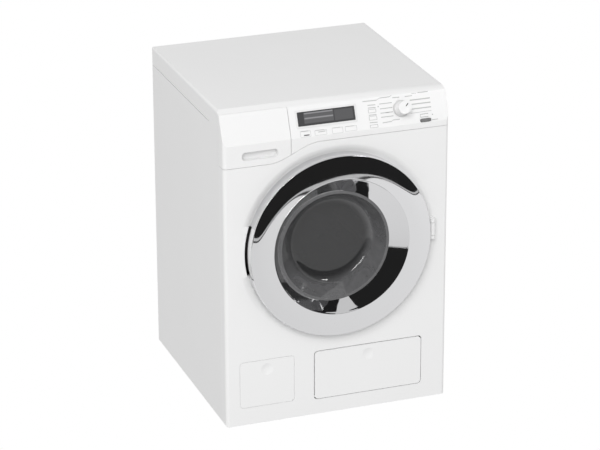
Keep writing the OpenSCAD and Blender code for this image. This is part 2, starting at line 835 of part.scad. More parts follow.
contact_t = 0.5;
spring_len = 5;
box_wall = 1.5;
cell_pitch = 2 * cell_r + 0.6;
bay_w = cell_len + spring_len + 2 * contact_t;
bay_size = 2 * cell_pitch;
bay_x0 = flap_x - bay_w / 2;
bay_y0 = front_y + 6;
bay_z0 = flap_z + 3.7;
catch_t = 1.2;

module battery_box() {
    color("gainsboro") difference() {
        union() {
            block([bay_x0 - box_wall, bay_y0, bay_z0 - box_wall],
                  [bay_x0 + bay_w + box_wall, bay_y0 + bay_size + box_wall, bay_z0 + bay_size + box_wall]);
            for (x = [bay_x0, bay_x0 + bay_w - 2])
                block([x, bay_y0, floor_z], [x + 2, bay_y0 + bay_size, bay_z0]);
        }
        block([bay_x0, bay_y0 - over, bay_z0], [bay_x0 + bay_w, bay_y0 + bay_size, bay_z0 + bay_size]);
    }
}

// Level i and row j of the four cells, with the spring at the left end on level 0
module at_cells() {
    for (i = [0, 1])
        for (j = [0, 1])
            translate([bay_x0 + contact_t + (i == 0 ? spring_len : 0),
                       bay_y0 + (j + 0.5) * cell_pitch, bay_z0 + (i + 0.5) * cell_pitch])
                rotate([0, 90, 0]) children();
}

module battery_cells() {
    color("goldenrod") at_cells() tube(cell_r, 0, 0, cell_len);
}

module battery_contacts() {
    color("silver") for (i = [0, 1]) {
        low_z = bay_z0 + i * cell_pitch + 2;
        for (x = [bay_x0, bay_x0 + bay_w - contact_t])
            block([x, bay_y0 + 2, low_z], [x + contact_t, bay_y0 + bay_size - 2, low_z + cell_pitch - 4]);
        for (j = [0, 1])
            translate([i == 0 ? bay_x0 + contact_t : bay_x0 + bay_w - contact_t - spring_len,
                       bay_y0 + (j + 0.5) * cell_pitch, bay_z0 + (i + 0.5) * cell_pitch])
                rotate([0, 90, 0]) tube(3.5, 2.7, 0, spring_len);
    }
}

module flap_catch() {
    top = bay_z0 + bay_size + box_wall;
    color("silver") {
        block([flap_x - tongue_w / 2, bay_y0, top], [flap_x + tongue_w / 2, bay_y0 + 8, top + catch_t]);
    }
}

// ---------------------------------------------------------------- door

// Height of the ring's crowned face at radius r, an arc from its outer edge up to its inner edge
face_rise = door_proud - ring_edge_p;
face_run = ring_r - ring_lip_r;
face_bow = 0.55;
function face_p(r, drop) =
    let (t = (ring_r - r) / face_run) ring_edge_p - drop + face_rise * t + 4 * face_bow * t * (1 - t);
function face_points(drop, r_from, r_to) =
    [for (i = [0:10]) let (r = r_from + (r_to - r_from) * i / 10) [r, face_p(r, drop)]];

// Slanting funnel from the ring's inner edge down to the glass, grown outwards by grow
module funnel(grow, past) {
    hull() {
        translate([0, 0, door_proud - 0.01 + past]) cylinder(r = ring_lip_r + grow, h = 0.01, $fn = 96);
        translate([glass_dx, glass_dz, -funnel_depth - past]) cylinder(r = glass_r + grow, h = 0.01, $fn = 96);
    }
}

door_screw_r = 0.9;
door_head_r = 1.8;
door_head_t = 1;
door_screw_len = 6.2;
door_screw_ring = 65;

module at_door_screws() {
    at_front(door_x, door_z) for (a = [30:60:330])
        rotate(a) translate([door_screw_ring, 0, 0]) children();
}

barrel_h = hinge_slot_h - 2 * (lug_h + pin_play);

module door_ring() {
    color("silver") difference() {
        union() {
            at_front(door_x, door_z) {
                rotate_extrude() polygon(concat(
                    [[ring_r - ring_wall, ring_edge_p - ring_skirt], [ring_r, ring_edge_p - ring_skirt]],
                    face_points(0, ring_r, ring_lip_r),
                    face_points(ring_wall, ring_lip_r, ring_r - ring_wall)));
                intersection() {
                    funnel(ring_wall, 0);
                    translate([0, 0, -funnel_depth - over])
                        cylinder(r = ring_r, h = funnel_depth + over + door_proud);
                }
            }
            at_door_screws() tube(2.6, 0, door_gap + frame_t, face_p(door_screw_ring, ring_wall / 2) - 0.3);
        }
        at_front(door_x, door_z) funnel(0, 0.3);
        at_door_screws() tube(door_screw_r, 0, 0, door_gap + door_screw_len);
    }
}

glass_flange_r = glass_r + 3.2;
glass_flange_t = 2;

module at_glass() {
    at_front(door_x + glass_dx, door_z + glass_dz) translate([0, 0, -funnel_depth]) children();
}

// Round-bottomed bowl drawn as a profile: radius against depth
function bowl_points(r_top, r_low, depth, dome) = concat(
    [for (i = [0:6]) let (a = 15 * i) [r_low + (r_top - r_low) * (1 - sin(a)), -depth * (1 - cos(a))]],
    [for (i = [1:5]) [r_low * (1 - i / 5), -depth - dome * (1 - pow(1 - i / 5, 2))]]);

bowl_dome = 2;

module door_glass() {
    color("dimgray", 0.5) at_glass() difference() {
        rotate_extrude() polygon(concat(
            [[0, 0], [glass_flange_r, 0], [glass_flange_r, -glass_flange_t], [glass_r - 0.5, -glass_flange_t]],
            bowl_points(glass_r - 0.5, bowl_r, bowl_depth, bowl_dome)));
        rotate_extrude() polygon(concat([[0, over], [glass_r - 0.5 - glass_wall, over]],
            bowl_points(glass_r - 0.5 - glass_wall, bowl_r - glass_wall, bowl_depth - glass_wall, bowl_dome)));
    }
}

retainer_t = 1.5;

module glass_retainer() {
    rim_p = funnel_depth;
    color("dimgray") at_glass() rotate_extrude() polygon([
        [glass_r, -glass_flange_t], [glass_flange_r, -glass_flange_t], [glass_flange_r, rim_p],
        [glass_flange_r + 1.2, rim_p], [glass_flange_r + 1.2, -glass_flange_t - retainer_t],
        [glass_r, -glass_flange_t - retainer_t]]);
}

frame_in_r = ring_lip_r - 1.2;

module door_frame() {
    back = door_gap;
    front = door_gap + frame_t;
    color("white") difference() {
        union() {
            at_front(door_x, door_z) {
                tube(ring_r, frame_in_r, back, front);
                tube(ring_r, ring_r - ring_wall, back, ring_edge_p - ring_skirt);
            }
            translate([hinge_x, front_y - hinge_p, hinge_z - barrel_h / 2])
                cylinder(r = hinge_r, h = barrel_h);
            block([hinge_x - 12, front_y - front, hinge_z - barrel_h / 2],
                  [hinge_x, front_y - back - 0.2, hinge_z + barrel_h / 2]);
        }
        translate([hinge_x, front_y - hinge_p, hinge_z - barrel_h])
            cylinder(r = hinge_pin_r + run, h = 2 * barrel_h);
        at_door_screws() {
            tube(door_screw_r, 0, 0, front + over);
            tube(door_head_r, 0, 0, back + door_head_t);
        }
        at_front(door_x, door_z) funnel(ring_wall, 0.3);
    }
}

module door_screws() {
    color("silver") at_door_screws() {
        tube(door_head_r, 0, door_gap, door_gap + door_head_t);
        tube(door_screw_r, 0, door_gap + door_head_t, door_gap + door_screw_len);
    }
}

module door_hinge_pin() {
    half = hinge_slot_h / 2 - 0.8;
    color("silver") translate([hinge_x, front_y - hinge_p, hinge_z - half])
        cylinder(r = hinge_pin_r, h = 2 * half);
}

hook_depth = 8;

module latch_hook() {
    y0 = front_y - door_gap;
    color("whitesmoke") {
        block([latch_x - latch_w / 2, y0, hinge_z - latch_h / 2],
              [latch_x + latch_w / 2, front_y + hook_depth, hinge_z + latch_h / 2]);
    }
}

catch_wall = 0.8;

module latch_catch() {
    y0 = front_y + wall;
    x0 = latch_x - latch_w / 2 - 0.8;
    x1 = latch_x + latch_w / 2 + 0.4;
    z_half = latch_h / 2 + 0.7;
    color("silver") for (side = [-1, 1])
        block([x0, y0, hinge_z + side * (z_half + catch_wall / 2) - catch_wall / 2],
              [x1, y0 + 6, hinge_z + side * (z_half + catch_wall / 2) + catch_wall / 2]);
}

// ---------------------------------------------------------------- tub and drum

drum_r = tub_r - tub_wall - drum_gap;
drum_front = tub_front + tub_wall + drum_gap;
drum_back = tub_back - 12;
tub_boss_r = 10;
bush_r = 6;
bush_len = 8;
gasket_t = 2.5;
drain_y = front_y + tub_back - 15;
drain_joint_z = door_z - tub_r - 3;

module tub() {
    lip = wall + gasket_t;
    color("dimgray") difference() {
        union() {
            at_front(door_x, door_z) rotate_extrude() polygon([
                [mouth_r, -lip], [mouth_r + tub_wall, -lip], [mouth_r + tub_wall, -tub_front],
                [tub_r, -tub_front], [tub_r, -tub_back], [bush_r, -tub_back],
                [bush_r, -tub_back + bush_len], [tub_boss_r, -tub_back + bush_len],
                [tub_boss_r, -tub_back + tub_wall], [tub_r - tub_wall, -tub_back + tub_wall],
                [tub_r - tub_wall, -tub_front - tub_wall], [mouth_r, -tub_front - tub_wall]]);
            difference() {
                translate([drain_x, drain_y, 0]) tube(drain_r + 2, 0, drain_joint_z, door_z - tub_r + 8);
                at_front(door_x, door_z) tube(tub_r - tub_wall, 0, -tub_back, -tub_front);
            }
        }
        translate([drain_x, drain_y, 0]) tube(drain_bore_r, 0, drain_joint_z - over, door_z - 20);
        translate([spout_x, spout_y, 0]) tube(spout_r + 0.3, 0, door_z, guide_z0);
    }
}

module tub_gasket() {
    color("gray") at_front(door_x, door_z) tube(mouth_r + 2.5, mouth_r, -wall - gasket_t, -wall);
}

cradle_t = 4;
cradle_w = cab_w - 85;
cradle_rise = 20;

module tub_cradle() {
    color("gainsboro") for (depth = [tub_back / 3, 0.7 * tub_back]) difference() {
        block([door_x - cradle_w / 2, front_y + depth, floor_z],
              [door_x + cradle_w / 2, front_y + depth + cradle_t, door_z - tub_r + cradle_rise]);
        at_front(door_x, door_z) tube(tub_r, 0, -depth - cradle_t - over, -depth + over);
        block([door_x - cradle_w / 2 + 10, front_y + depth - over, floor_z + 8],
              [door_x + cradle_w / 2 - 10, front_y + depth + cradle_t + over, door_z - tub_r - 12]);
    }
}

hub_r = 9;
hub_end = tub_back - bush_len - 0.4;

module drum() {
    inner = drum_r - drum_wall;
    row_pitch = (drum_back - drum_front) / (drum_rows + 1);
    color("silver") at_front(door_x, door_z) difference() {
        rotate_extrude() polygon([
            [drum_mouth_r, -drum_front], [drum_r, -drum_front], [drum_r, -drum_back], [hub_r, -drum_back],
            [hub_r, -hub_end], [shaft_r, -hub_end], [shaft_r, -drum_back + drum_wall],
            [inner, -drum_back + drum_wall], [inner, -drum_front - drum_wall],
            [drum_mouth_r, -drum_front - drum_wall]]);
        for (row = [1:drum_rows])
            for (col = [0:drum_cols - 1])
                rotate((col + 0.5) * 360 / drum_cols)
                    translate([inner - over, 0, -drum_front - row * row_pitch]) rotate([0, 90, 0])
                        cylinder(r = drum_hole_r, h = drum_wall + 2 * over, $fn = 24);
    }
}

module drum_paddles() {
    inner = drum_r - drum_wall;
    len = drum_back - drum_front - 2 * drum_wall - 6;
    color("silver") at_front(door_x, door_z) for (a = [90, 210, 330]) rotate(a) intersection() {
        translate([0, 0, -drum_front - drum_wall - 3 - len]) linear_extrude(len) {
            translate([inner - paddle_h + 2, -2]) square([paddle_h, 4]);
            translate([inner - paddle_h + 2, 0]) circle(2);
            polygon([[inner - paddle_h + 2, -2], [inner, -7], [inner + 2, -7], [inner + 2, 7],
                     [inner, 7], [inner - paddle_h + 2, 2]]);
        }
        tube(inner, 0, -drum_back, -drum_front);
    }
}

// ---------------------------------------------------------------- drive

plate_t = 0.8 * wall;
box_front = tub_back;
layer_a = box_front + plate_t + 2 * gear_m;
wheel_t = 4 * gear_m;
layer_b = layer_a + wheel_t + 2 * gear_m;
layer_c = layer_b + wheel_t + gear_m;
box_back = layer_c + wheel_t + gear_m;

module drum_shaft() {
    color("silver") at_front(door_x, door_z) {
        tube(shaft_r, 0, -box_back - plate_t, -drum_back + drum_wall + 2);
        tube(shaft_r + 2.2, shaft_r - weld, -drum_back + drum_wall, -drum_back + drum_wall + 2);
    }
}

module shaft_bush() {
    color("goldenrod") at_front(door_x, door_z)
        tube(bush_r, shaft_r + run, -tub_back, -tub_back + bush_len);
}

// Each leg of the train: direction from one axis to the next
drum_leg_angle = -66;
middle_leg_angle = -60;
motor_leg_angle = -75;
drum_leg = gear_m * (drum_teeth + pinion_teeth) / 2;
middle_leg = gear_m * (middle_teeth + pinion_teeth) / 2;
motor_leg = gear_m * (first_teeth + motor_teeth) / 2;
drum_at = [door_x, door_z];
middle_at = drum_at + drum_leg * [cos(drum_leg_angle), sin(drum_leg_angle)];
first_at = middle_at + middle_leg * [cos(middle_leg_angle), sin(middle_leg_angle)];
motor_at = first_at + motor_leg * [cos(motor_leg_angle), sin(motor_leg_angle)];

// Turn that puts a gap of the next gear on a tooth of the one before it. turn and teeth belong to
// the driving gear, next_teeth to the next one and angle is the direction between their axes
function mesh_turn(turn, teeth, next_teeth, angle) =
    angle + 180 - 360 / next_teeth * (0.5 - (angle - turn) * teeth / 360);

drum_turn = 0;
middle_turn = mesh_turn(drum_turn, drum_teeth, pinion_teeth, drum_leg_angle);
first_turn = mesh_turn(middle_turn, middle_teeth, pinion_teeth, middle_leg_angle);
motor_turn = mesh_turn(first_turn, first_teeth, motor_teeth, motor_leg_angle);

// Gear with straight-sided teeth of 20 degrees, one tooth centred on the x axis
module gear_2d(teeth) {
    pitch = gear_m * teeth / 2;
    tip = 0.8 * gear_m;
    root = 1.15 * gear_m;
    half = PI * gear_m / 4 - backlash / 2;
    profile = [[pitch - root, half + root * tan(20)], [pitch + tip, half - tip * tan(20)]];
    polygon([for (i = [0:teeth - 1]) let (a = i * 360 / teeth)
        for (p = [[profile[0][0], -profile[0][1]], [profile[1][0], -profile[1][1]],
                  profile[1], profile[0]])
            let (w = min(p[1], 0.98 * p[0] * sin(180 / teeth)), v = max(w, -0.98 * p[0] * sin(180 / teeth)))
            [p[0] * cos(a) - v * sin(a), p[0] * sin(a) + v * cos(a)]]);
}

module gear(teeth, turn, depth, thick) {
    translate([0, 0, -depth - thick]) linear_extrude(thick) rotate(turn) gear_2d(teeth);
}

module at_axis(place) {
    at_front(place[0], place[1]) children();
}

gear_hub_r = 3.5 * gear_m;
hub_play = 0.3;

module drum_gear() {
    color("ivory") at_axis(drum_at) difference() {
        union() {
            gear(drum_teeth, drum_turn, layer_a, wheel_t + 1);
            tube(shaft_r + 3, 0, -layer_a - wheel_t - 1.5, -box_front - plate_t - hub_play);
        }
        tube(shaft_r, 0, -box_back, -box_front);
        for (a = [0:60:300]) rotate(a) translate([drum_teeth * gear_m / 3.2, 0, 0])
            tube(6, 0, -box_back, -box_front);
    }
}

// Wheel and pinion in one piece on an axle
module double_gear(wheel, wheel_turn, wheel_depth, pinion_turn, pinion_depth, pinion_t) {
    difference() {
        union() {
            gear(wheel, wheel_turn, wheel_depth, wheel_t);
            gear(pinion_teeth, pinion_turn, pinion_depth, pinion_t);
            tube(gear_hub_r, 0, -box_back + hub_play, -box_front - plate_t - hub_play);
        }
        tube(axle_r + run, 0, -box_back - over, -box_front);
    }
}

module middle_gear() {
    color("ivory") at_axis(middle_at)
        double_gear(middle_teeth, middle_turn, layer_b, middle_turn, layer_a, layer_b - layer_a);
}

module first_gear() {
    color("ivory") at_axis(first_at)
        double_gear(first_teeth, first_turn, layer_c, first_turn, layer_b, layer_c - layer_b);
}

motor_shaft_r = 0.1 * motor_r;
motor_seat = 8;

module motor_pinion() {
    color("goldenrod") at_axis(motor_at) difference() {
        gear(motor_teeth, motor_turn, layer_c, wheel_t);
        tube(motor_shaft_r, 0, -box_back, -box_front);
    }
}

module motor_shaft() {
    color("silver") at_axis(motor_at) tube(motor_shaft_r, 0, -layer_c - wheel_t, -box_front + motor_seat);
}

module motor() {
    color("silver") at_axis(motor_at) difference() {
        union() {
            intersection() {
                tube(motor_r, 0, -box_front, -box_front + motor_len);
                translate([0, 0, -box_front]) cube([motor_flat, 3 * motor_r, 3 * motor_len], center = true);
            }
            tube(3, 0, -box_front + motor_len - weld, -box_front + motor_len + 1.5);
        }
        tube(motor_shaft_r + run, 0, -box_front - over, -box_front + motor_seat + 0.4);
    }
}

module gear_axles() {
    color("silver") for (place = [middle_at, first_at])
        at_axis(place) tube(axle_r, 0, -box_back - plate_t, -box_front);
}

// Posts that hold the two gearbox plates apart
posts = [for (offset = [[-20, 42], [-34, -34], [52, -28], [5, -88]]) drum_at + gear_m * offset];
post_r = 3 * gear_m;
arm_w = 12 * gear_m;
pad_r = arm_w / 2 + 0.7;

// Flat arm between two places on the plate, with a wider round pad at each
module arm_2d(from, to) {
    run_x = to[0] - from[0];
    run_z = to[1] - from[1];
    translate(from) rotate(atan2(run_z, run_x)) translate([0, -arm_w / 2]) square([norm(to - from), arm_w]);
    for (place = [from, to]) translate(place) circle(pad_r);
}

module gearbox_web(depth) {
    at_front(0, 0) translate([0, 0, -depth - plate_t]) linear_extrude(plate_t) {
        arm_2d(drum_at, middle_at);
        arm_2d(middle_at, first_at);
        arm_2d(first_at, motor_at);
        arm_2d(drum_at, posts[0]);
        arm_2d(drum_at, posts[1]);
        arm_2d(middle_at, posts[2]);
        arm_2d(motor_at, posts[3]);
    }
}

module gearbox_front() {
    color("gainsboro") difference() {
        gearbox_web(box_front);
        at_axis(drum_at) tube(shaft_r + 1, 0, -box_front - plate_t - over, -box_front + over);
        at_axis(motor_at) tube(motor_shaft_r + 0.5, 0, -box_front - plate_t - over, -box_front + over);
        for (place = [middle_at, first_at])
            at_axis(place) tube(axle_r, 0, -box_front - plate_t - over, -box_front + over);
    }
}

module gearbox_back() {
    color("gainsboro") difference() {
        union() {
            gearbox_web(box_back);
            for (place = posts) at_axis(place) tube(post_r, 0, -box_back - weld, -box_front - plate_t);
        }
        at_axis(drum_at) tube(shaft_r + run, 0, -box_back - plate_t - over, -box_back + over);
        for (place = [middle_at, first_at])
            at_axis(place) tube(axle_r, 0, -box_back - plate_t - over, -box_back + over);
    }
}

// ---------------------------------------------------------------- drain

spigot_y = back_y - cup_depth + 3;

module drain_pipe() {
    color("gainsboro") difference() {
        union() {
            translate([drain_x, drain_y, 0]) tube(drain_r, 0, drain_z, drain_joint_z);
            translate([drain_x, drain_y, drain_z]) sphere(r = drain_r);
            translate([drain_x, drain_y, drain_z]) rotate([-90, 0, 0]) tube(drain_r, 0, 0, spigot_y - drain_y);
        }
        translate([drain_x, drain_y, 0]) tube(drain_bore_r, 0, drain_z, drain_joint_z + over);
        translate([drain_x, drain_y, drain_z]) rotate([-90, 0, 0])
            tube(drain_bore_r, 0, 0, spigot_y - drain_y + over);
    }
}

plug_len = 6;
plug_head_t = 2;

module drain_plug() {
    color("dimgray") translate([drain_x, spigot_y, drain_z]) rotate([-90, 0, 0]) {
        tube(drain_bore_r - run, 0, -plug_len, weld);
        tube(drain_r + 1, 0, 0, plug_head_t);
        translate([0, 0, plug_head_t + 1]) cube([1.6, 6, 2 + weld], center = true);
    }
}

// ---------------------------------------------------------------- nodes

housing();
top_cover();
front_panel();
fascia();
rear_cover();
rear_screws();
feet();
display_bezel();
display_lens();
display_module();
circuit_board();
rotary_switch();
knob_shaft();
selector_knob();
start_button();
start_switch();
speaker();
drawer_guide();
drawer_front();
drawer_tray();
service_flap();
flap_catch();
battery_box();
battery_cells();
battery_contacts();
door_ring();
door_glass();
glass_retainer();
door_frame();
door_screws();
door_hinge_pin();
latch_hook();
latch_catch();
tub();
tub_gasket();
tub_cradle();
drum();
drum_paddles();
drum_shaft();
shaft_bush();
drum_gear();
middle_gear();
first_gear();
motor_pinion();
motor_shaft();
motor();
gear_axles();
gearbox_front();
gearbox_back();
drain_pipe();
drain_plug();
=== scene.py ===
import json
import math

import bmesh
import bpy
import numpy as np
from mathutils import Matrix, Vector


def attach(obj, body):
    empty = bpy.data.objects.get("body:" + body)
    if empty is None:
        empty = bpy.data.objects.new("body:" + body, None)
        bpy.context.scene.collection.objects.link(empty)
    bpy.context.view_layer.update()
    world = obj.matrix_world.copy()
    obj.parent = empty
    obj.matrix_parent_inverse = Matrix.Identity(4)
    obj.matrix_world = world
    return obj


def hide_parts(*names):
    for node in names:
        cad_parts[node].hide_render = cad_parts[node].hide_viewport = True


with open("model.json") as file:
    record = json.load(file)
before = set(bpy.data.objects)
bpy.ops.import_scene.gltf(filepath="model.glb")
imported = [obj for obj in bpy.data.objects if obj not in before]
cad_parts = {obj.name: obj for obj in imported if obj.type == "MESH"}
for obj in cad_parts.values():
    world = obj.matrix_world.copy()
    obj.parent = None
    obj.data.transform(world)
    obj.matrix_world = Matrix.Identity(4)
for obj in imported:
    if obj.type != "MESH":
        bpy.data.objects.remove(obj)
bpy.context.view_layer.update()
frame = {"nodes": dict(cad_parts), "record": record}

# ---------------------------------------------------------------- sizes, in metres

# Heights on the door and its surround are measured forwards from the front plane of the cabinet.
FRONT_Y = -0.0865                 # that front plane
DOOR_X, DOOR_Z = 0.0005, 0.1467   # centre of the door
SEAM = 0.00003                    # step by which a skin stands clear of the face that it meets
RING_R = 0.075                    # outer radius of the chrome ring
RING_WALL = 0.0015                # wall of the chrome moulding
EDGE_ROUND = 0.0004               # rounding of the ring's outer edge
LIP_R = 0.0563                    # radius of its sharp inner edge
LIP_LAND = 0.0003                 # width left for the bevel of that edge
LIP_BEVEL = np.array([0.00002, 0.00012])   # how far out its two points lie, and in reverse how far down
LIP_PROUD = 0.010                 # height of the inner edge
TILT_LIP, TILT_EDGE = 1.0, 9.0    # slope of the ring's face at both edges, in degrees
TILT_POWER = 2.1                  # how late the slope sets in
TILT_FULL = 0.86                  # share of the face's width from which it stays at its full slope
SKIRT_P = 0.0066                  # height where the ring's side ends and the skirt has its full width
SKIRT_R = 0.0756                  # outer radius of the plated skirt around the door's frame
SKIRT_T = 0.00018                 # wall of the skirt
SKIRT_TOP = 0.0083                # height at which it leaves the ring's side
SKIRT_LOW, SKIRT_HINGE_LOW = -0.0015, 0.0003   # height of its lower edge, and beside the hinge
HINGE_FROM, HINGE_SPAN = 0.2, 0.4 # cosine where that edge starts to rise, and the span of its rise
DISH_GAP = 0.0001                 # gap between the skirt and the dish in the front panel
DISH_OUT_R = 0.0819               # outer radius of the dish
DISH_DEPTH = 0.00194              # its depth beside the skirt
DISH_POWER = 1.6                  # how quickly the dish grows shallower
RECESS_HALF, RECESS_DZ = 0.021, 0.0025   # half height of the finger recess, and its rise over the axis
GLASS_R = 0.046                   # radius of the opening at the funnel's end
GLASS_DX, GLASS_DZ = -0.0024, -0.0028   # shift of that opening against the door's centre
FUNNEL_DEPTH = 0.001              # depth of the funnel's end behind the front plane
GLASS_WALL = 0.0018               # wall of the bowl
BOWL_PLAY = 0.0005                # play between the funnel's opening and the bowl
BOWL_DEPTH = 0.017                # depth of the bowl's bottom behind its rim
BOWL_CORNER_R = 0.0355            # radius at which the bowl's cone would meet its bottom
BOWL_FILLET = 0.011               # rounding between them, inside the bowl
BOWL_DOME = 0.0006                # extra depth of the bottom at its middle
BOWL_DX, BOWL_DZ = 0.0018, 0.0022 # shift of the bowl's bottom against its rim
FLANGE_OUT, FLANGE_T = 0.0032, 0.002   # width and thickness of the bowl's flange
FLANGE_BEVEL = 0.0003
POLE_R = 0.00001                  # radius of the row at a pole, whose points are then merged
POLE_MERGE, SKIN_MERGE = 0.000003, 0.000004   # distances within which points become one
FOLD_Z = 0.2378                   # fold between the upright band and the leaning panel
PANEL_LEAN = math.radians(22.6)   # lean of the control panel from upright
KNOB_X, KNOB_S = 0.0546, 0.0131   # centre of the knob, to the right and up the panel from the fold
KNOB_TOP, KNOB_SKIRT = 0.0088, 0.00195   # heights of the knob and of its skirt over the panel
KNOB_GROOVE = 0.0004              # depth of the groove in the knob's top that holds the pointer's print
POINTER_FROM, POINTER_TO = 1.1, 3.2   # its ends from the knob's centre, both right and up, in millimetres
POINTER_WIDTH = 0.8               # in millimetres
INK_H, INK_SUNK = 0.00006, 0.00002   # how far the printed marks stand out and reach in
MM = 0.001


# ---------------------------------------------------------------- shader maths

class Field:
    """A node's output that can be added, multiplied and compared as a number is."""

    def __init__(self, finish, socket):
        self.finish = finish
        self.socket = socket

    def _math(self, operation, *values):
        return self.finish.node("Math", {"operation": operation}, dict(enumerate(values)))

    def __add__(self, other):
        return self._math("ADD", self, other)

    def __radd__(self, other):
        return self._math("ADD", other, self)

    def __sub__(self, other):
        return self._math("SUBTRACT", self, other)

    def __rsub__(self, other):
        return self._math("SUBTRACT", other, self)

    def __mul__(self, other):
        return self._math("MULTIPLY", self, other)

    def __rmul__(self, other):
        return self._math("MULTIPLY", other, self)

    def __gt__(self, other):
        return self._math("GREATER_THAN", self, other)

    def __lt__(self, other):
        return self._math("LESS_THAN", self, other)

    def __pow__(self, other):
        return self._math("POWER", self, other)

    def sine(self):
        return self._math("SINE", self)

    def ramp(self, low, high):
        """0 below low, 1 above high, and smooth between them."""
        return self.finish.node("MapRange", {"interpolation_type": "SMOOTHSTEP"},
                                {"Value": self, "From Min": low, "From Max": high})


class Finish:
    """A material under construction, with one Principled shader."""

    def __init__(self, name, colour, roughness, **constants):
        self.material = bpy.data.materials.new(name)
        self.material.use_nodes = True
        self.tree = self.material.node_tree
        self.shader = self.tree.nodes["Principled BSDF"]
        self.shader.inputs["Base Color"].default_value = (*colour, 1.0)
        self.shader.inputs["Roughness"].default_value = roughness
        for socket, value in constants.items():
            self.shader.inputs[socket.replace("_", " ")].default_value = value
        self.colour = colour

    def node(self, kind, settings, values, output=0):
        """A new node of a type, with its settings set first and then its sockets' values or links."""
        made = self.tree.nodes.new("ShaderNode" + kind)
        for key, value in settings.items():
            setattr(made, key, value)
        for key, value in values.items():
            if isinstance(value, Field):
                self.tree.links.new(value.socket, made.inputs[key])
            else:
                made.inputs[key].default_value = value
        return Field(self, made.outputs[output])

    def place(self, turn=(0, 0, 0), centre=(0, 0, 0)):
        """Object coordinates in metres, turned and centred."""
        coords = self.node("TexCoord", {}, {}, "Object")
        return self.node("Mapping", {"vector_type": "TEXTURE"},
                         {"Vector": coords, "Location": centre, "Rotation": turn})

    def axes(self, vector):
        """The three numbers of a vector."""
        split = self.node("SeparateXYZ", {}, {0: vector}).socket.node
        return [Field(self, output) for output in split.outputs]

    def panel_axes(self):
        """Places on the control panel: to the right, up the slope from the fold, and out of it."""
        return self.axes(self.place((math.pi / 2 - PANEL_LEAN, 0, 0), (0, FRONT_Y, FOLD_Z)))

    def radius(self, x0, z0):
        """Distance from an axis that runs along Y through x0 and z0."""
        x, _, z = self.axes(self.place())
        return ((x - x0) * (x - x0) + (z - z0) * (z - z0)) ** 0.5

    def noise(self, scale, detail=2.0, vector=None, distortion=0.0):
        """Soft noise between 0 and 1, with scale in cells per metre."""
        return self.node("TexNoise", {}, {"Vector": vector or self.place(), "Scale": scale,
                                          "Detail": detail, "Distortion": distortion})

    def mix(self, factor, low, high):
        """A colour that is the first one where the factor is 0 and the second one where it is 1."""
        return self.node("Mix", {"data_type": "RGBA"}, {"Factor": factor, 6: low, 7: high}, 2)

    def tint(self, factor, low, high):
        """Base colour between two shares of the finish's own colour, by a factor from 0 to 1."""
        pair = [tuple(min(1.0, share * c) for c in self.colour) + (1.0,) for share in (low, high)]
        self.feed("Base Color", self.mix(factor, *pair))

    def feed(self, socket, field):
        """Lets a field rule one of the shader's sockets."""
        self.tree.links.new(field.socket, self.shader.inputs[socket])

    def bump(self, height, depth):
        """Bumps of a real depth in metres on the shader's normal."""
        self.feed("Normal", self.node("Bump", {}, {"Height": height, "Distance": depth, "Strength": 1.0}))


def moulded(name, colour, roughness, grain=1500, grain_depth=0.000006):
    """Moulded plastic: a fine spark-eroded grain, faint flow shading and a slightly uneven gloss."""
    made = Finish(name, colour, roughness)
    flow = made.noise(14, 3.0)
    grains = made.noise(grain, 2.0)
    made.tint(flow, 0.985, 1.01)
    made.feed("Roughness", roughness - 0.04 + 0.08 * made.noise(60, 3.0))
    made.bump(grains, grain_depth)
    return made.material


def brushed(name, colour, roughness):
    """Metal with fine drawn lines along Z."""
    made = Finish(name, colour, roughness, Metallic=1.0)
    stretched = made.node("VectorMath", {"operation": "MULTIPLY"}, {0: made.place(), 1: (1, 1, 0.05)})
    lines = made.noise(2500, 3.0, stretched)
    made.tint(lines, 0.8, 1.05)
    made.feed("Roughness", roughness - 0.08 + 0.16 * lines)
    made.bump(lines, 0.000004)
    return made.material


def plated():
    """Chrome plating over moulded plastic: mirror bright, faintly wavy, and more so inside the funnel."""
    made = Finish("chrome_plating", (0.82, 0.82, 0.83), 0.035, Metallic=1.0)
    radius = made.radius(DOOR_X, DOOR_Z)
    funnel = 1 - radius.ramp(LIP_R - 0.0012, LIP_R - 0.0004)
    waves = made.noise(24, 1.0) * 0.3
    draw_marks = made.noise(60, 0.0, distortion=0.4) * funnel * 0.35
    made.feed("Roughness", 0.025 + 0.03 * made.noise(90, 4.0).ramp(0.45, 0.8))
    made.bump(waves + draw_marks, 0.0004)
    return made.material


def smoked_bowl_painted_reflection():
    """Smoked clear plastic: dark and glossy, with a painted reflection that lightens its steep side wall,
    broken by swirled flow marks.
    """
    made = Finish("smoked_clear", (0.036, 0.036, 0.037), 0.04,
                  Coat_Weight=0.7, Coat_Roughness=0.02, Coat_IOR=1.5)
    radius = made.radius(DOOR_X + GLASS_DX, DOOR_Z + GLASS_DZ)
    # side marks the steep side wall. It paints the wall up to 4.4 times lighter and more opaque, as a
    # painted reflection of the bright room in the curved wall.
    side = radius.ramp(BOWL_CORNER_R - 0.0055, BOWL_CORNER_R + 0.002)
    haze = made.noise(45, 3.0)
    flow = made.noise(70, 4.0, distortion=2.5)
    made.tint(side * (0.55 + 0.6 * flow) + 0.06 * haze, 1.0, 4.4)
    made.feed("Roughness", 0.03 + 0.05 * made.noise(120, 4.0).ramp(0.5, 0.8))
    made.feed("Alpha", 0.60 + 0.06 * haze + 0.14 * side)
    return made.material


def rubber(name, colour):
    """Soft rubber: matt, with a fine pebbled skin and pale dust in it."""
    made = Finish(name, colour, 0.75, Sheen_Weight=0.15)
    pebbles = made.node("TexVoronoi", {}, {"Vector": made.place(), "Scale": 1800.0})
    made.tint(made.noise(80, 4.0), 0.8, 1.25)
    made.bump(pebbles, 0.00002)
    return made.material


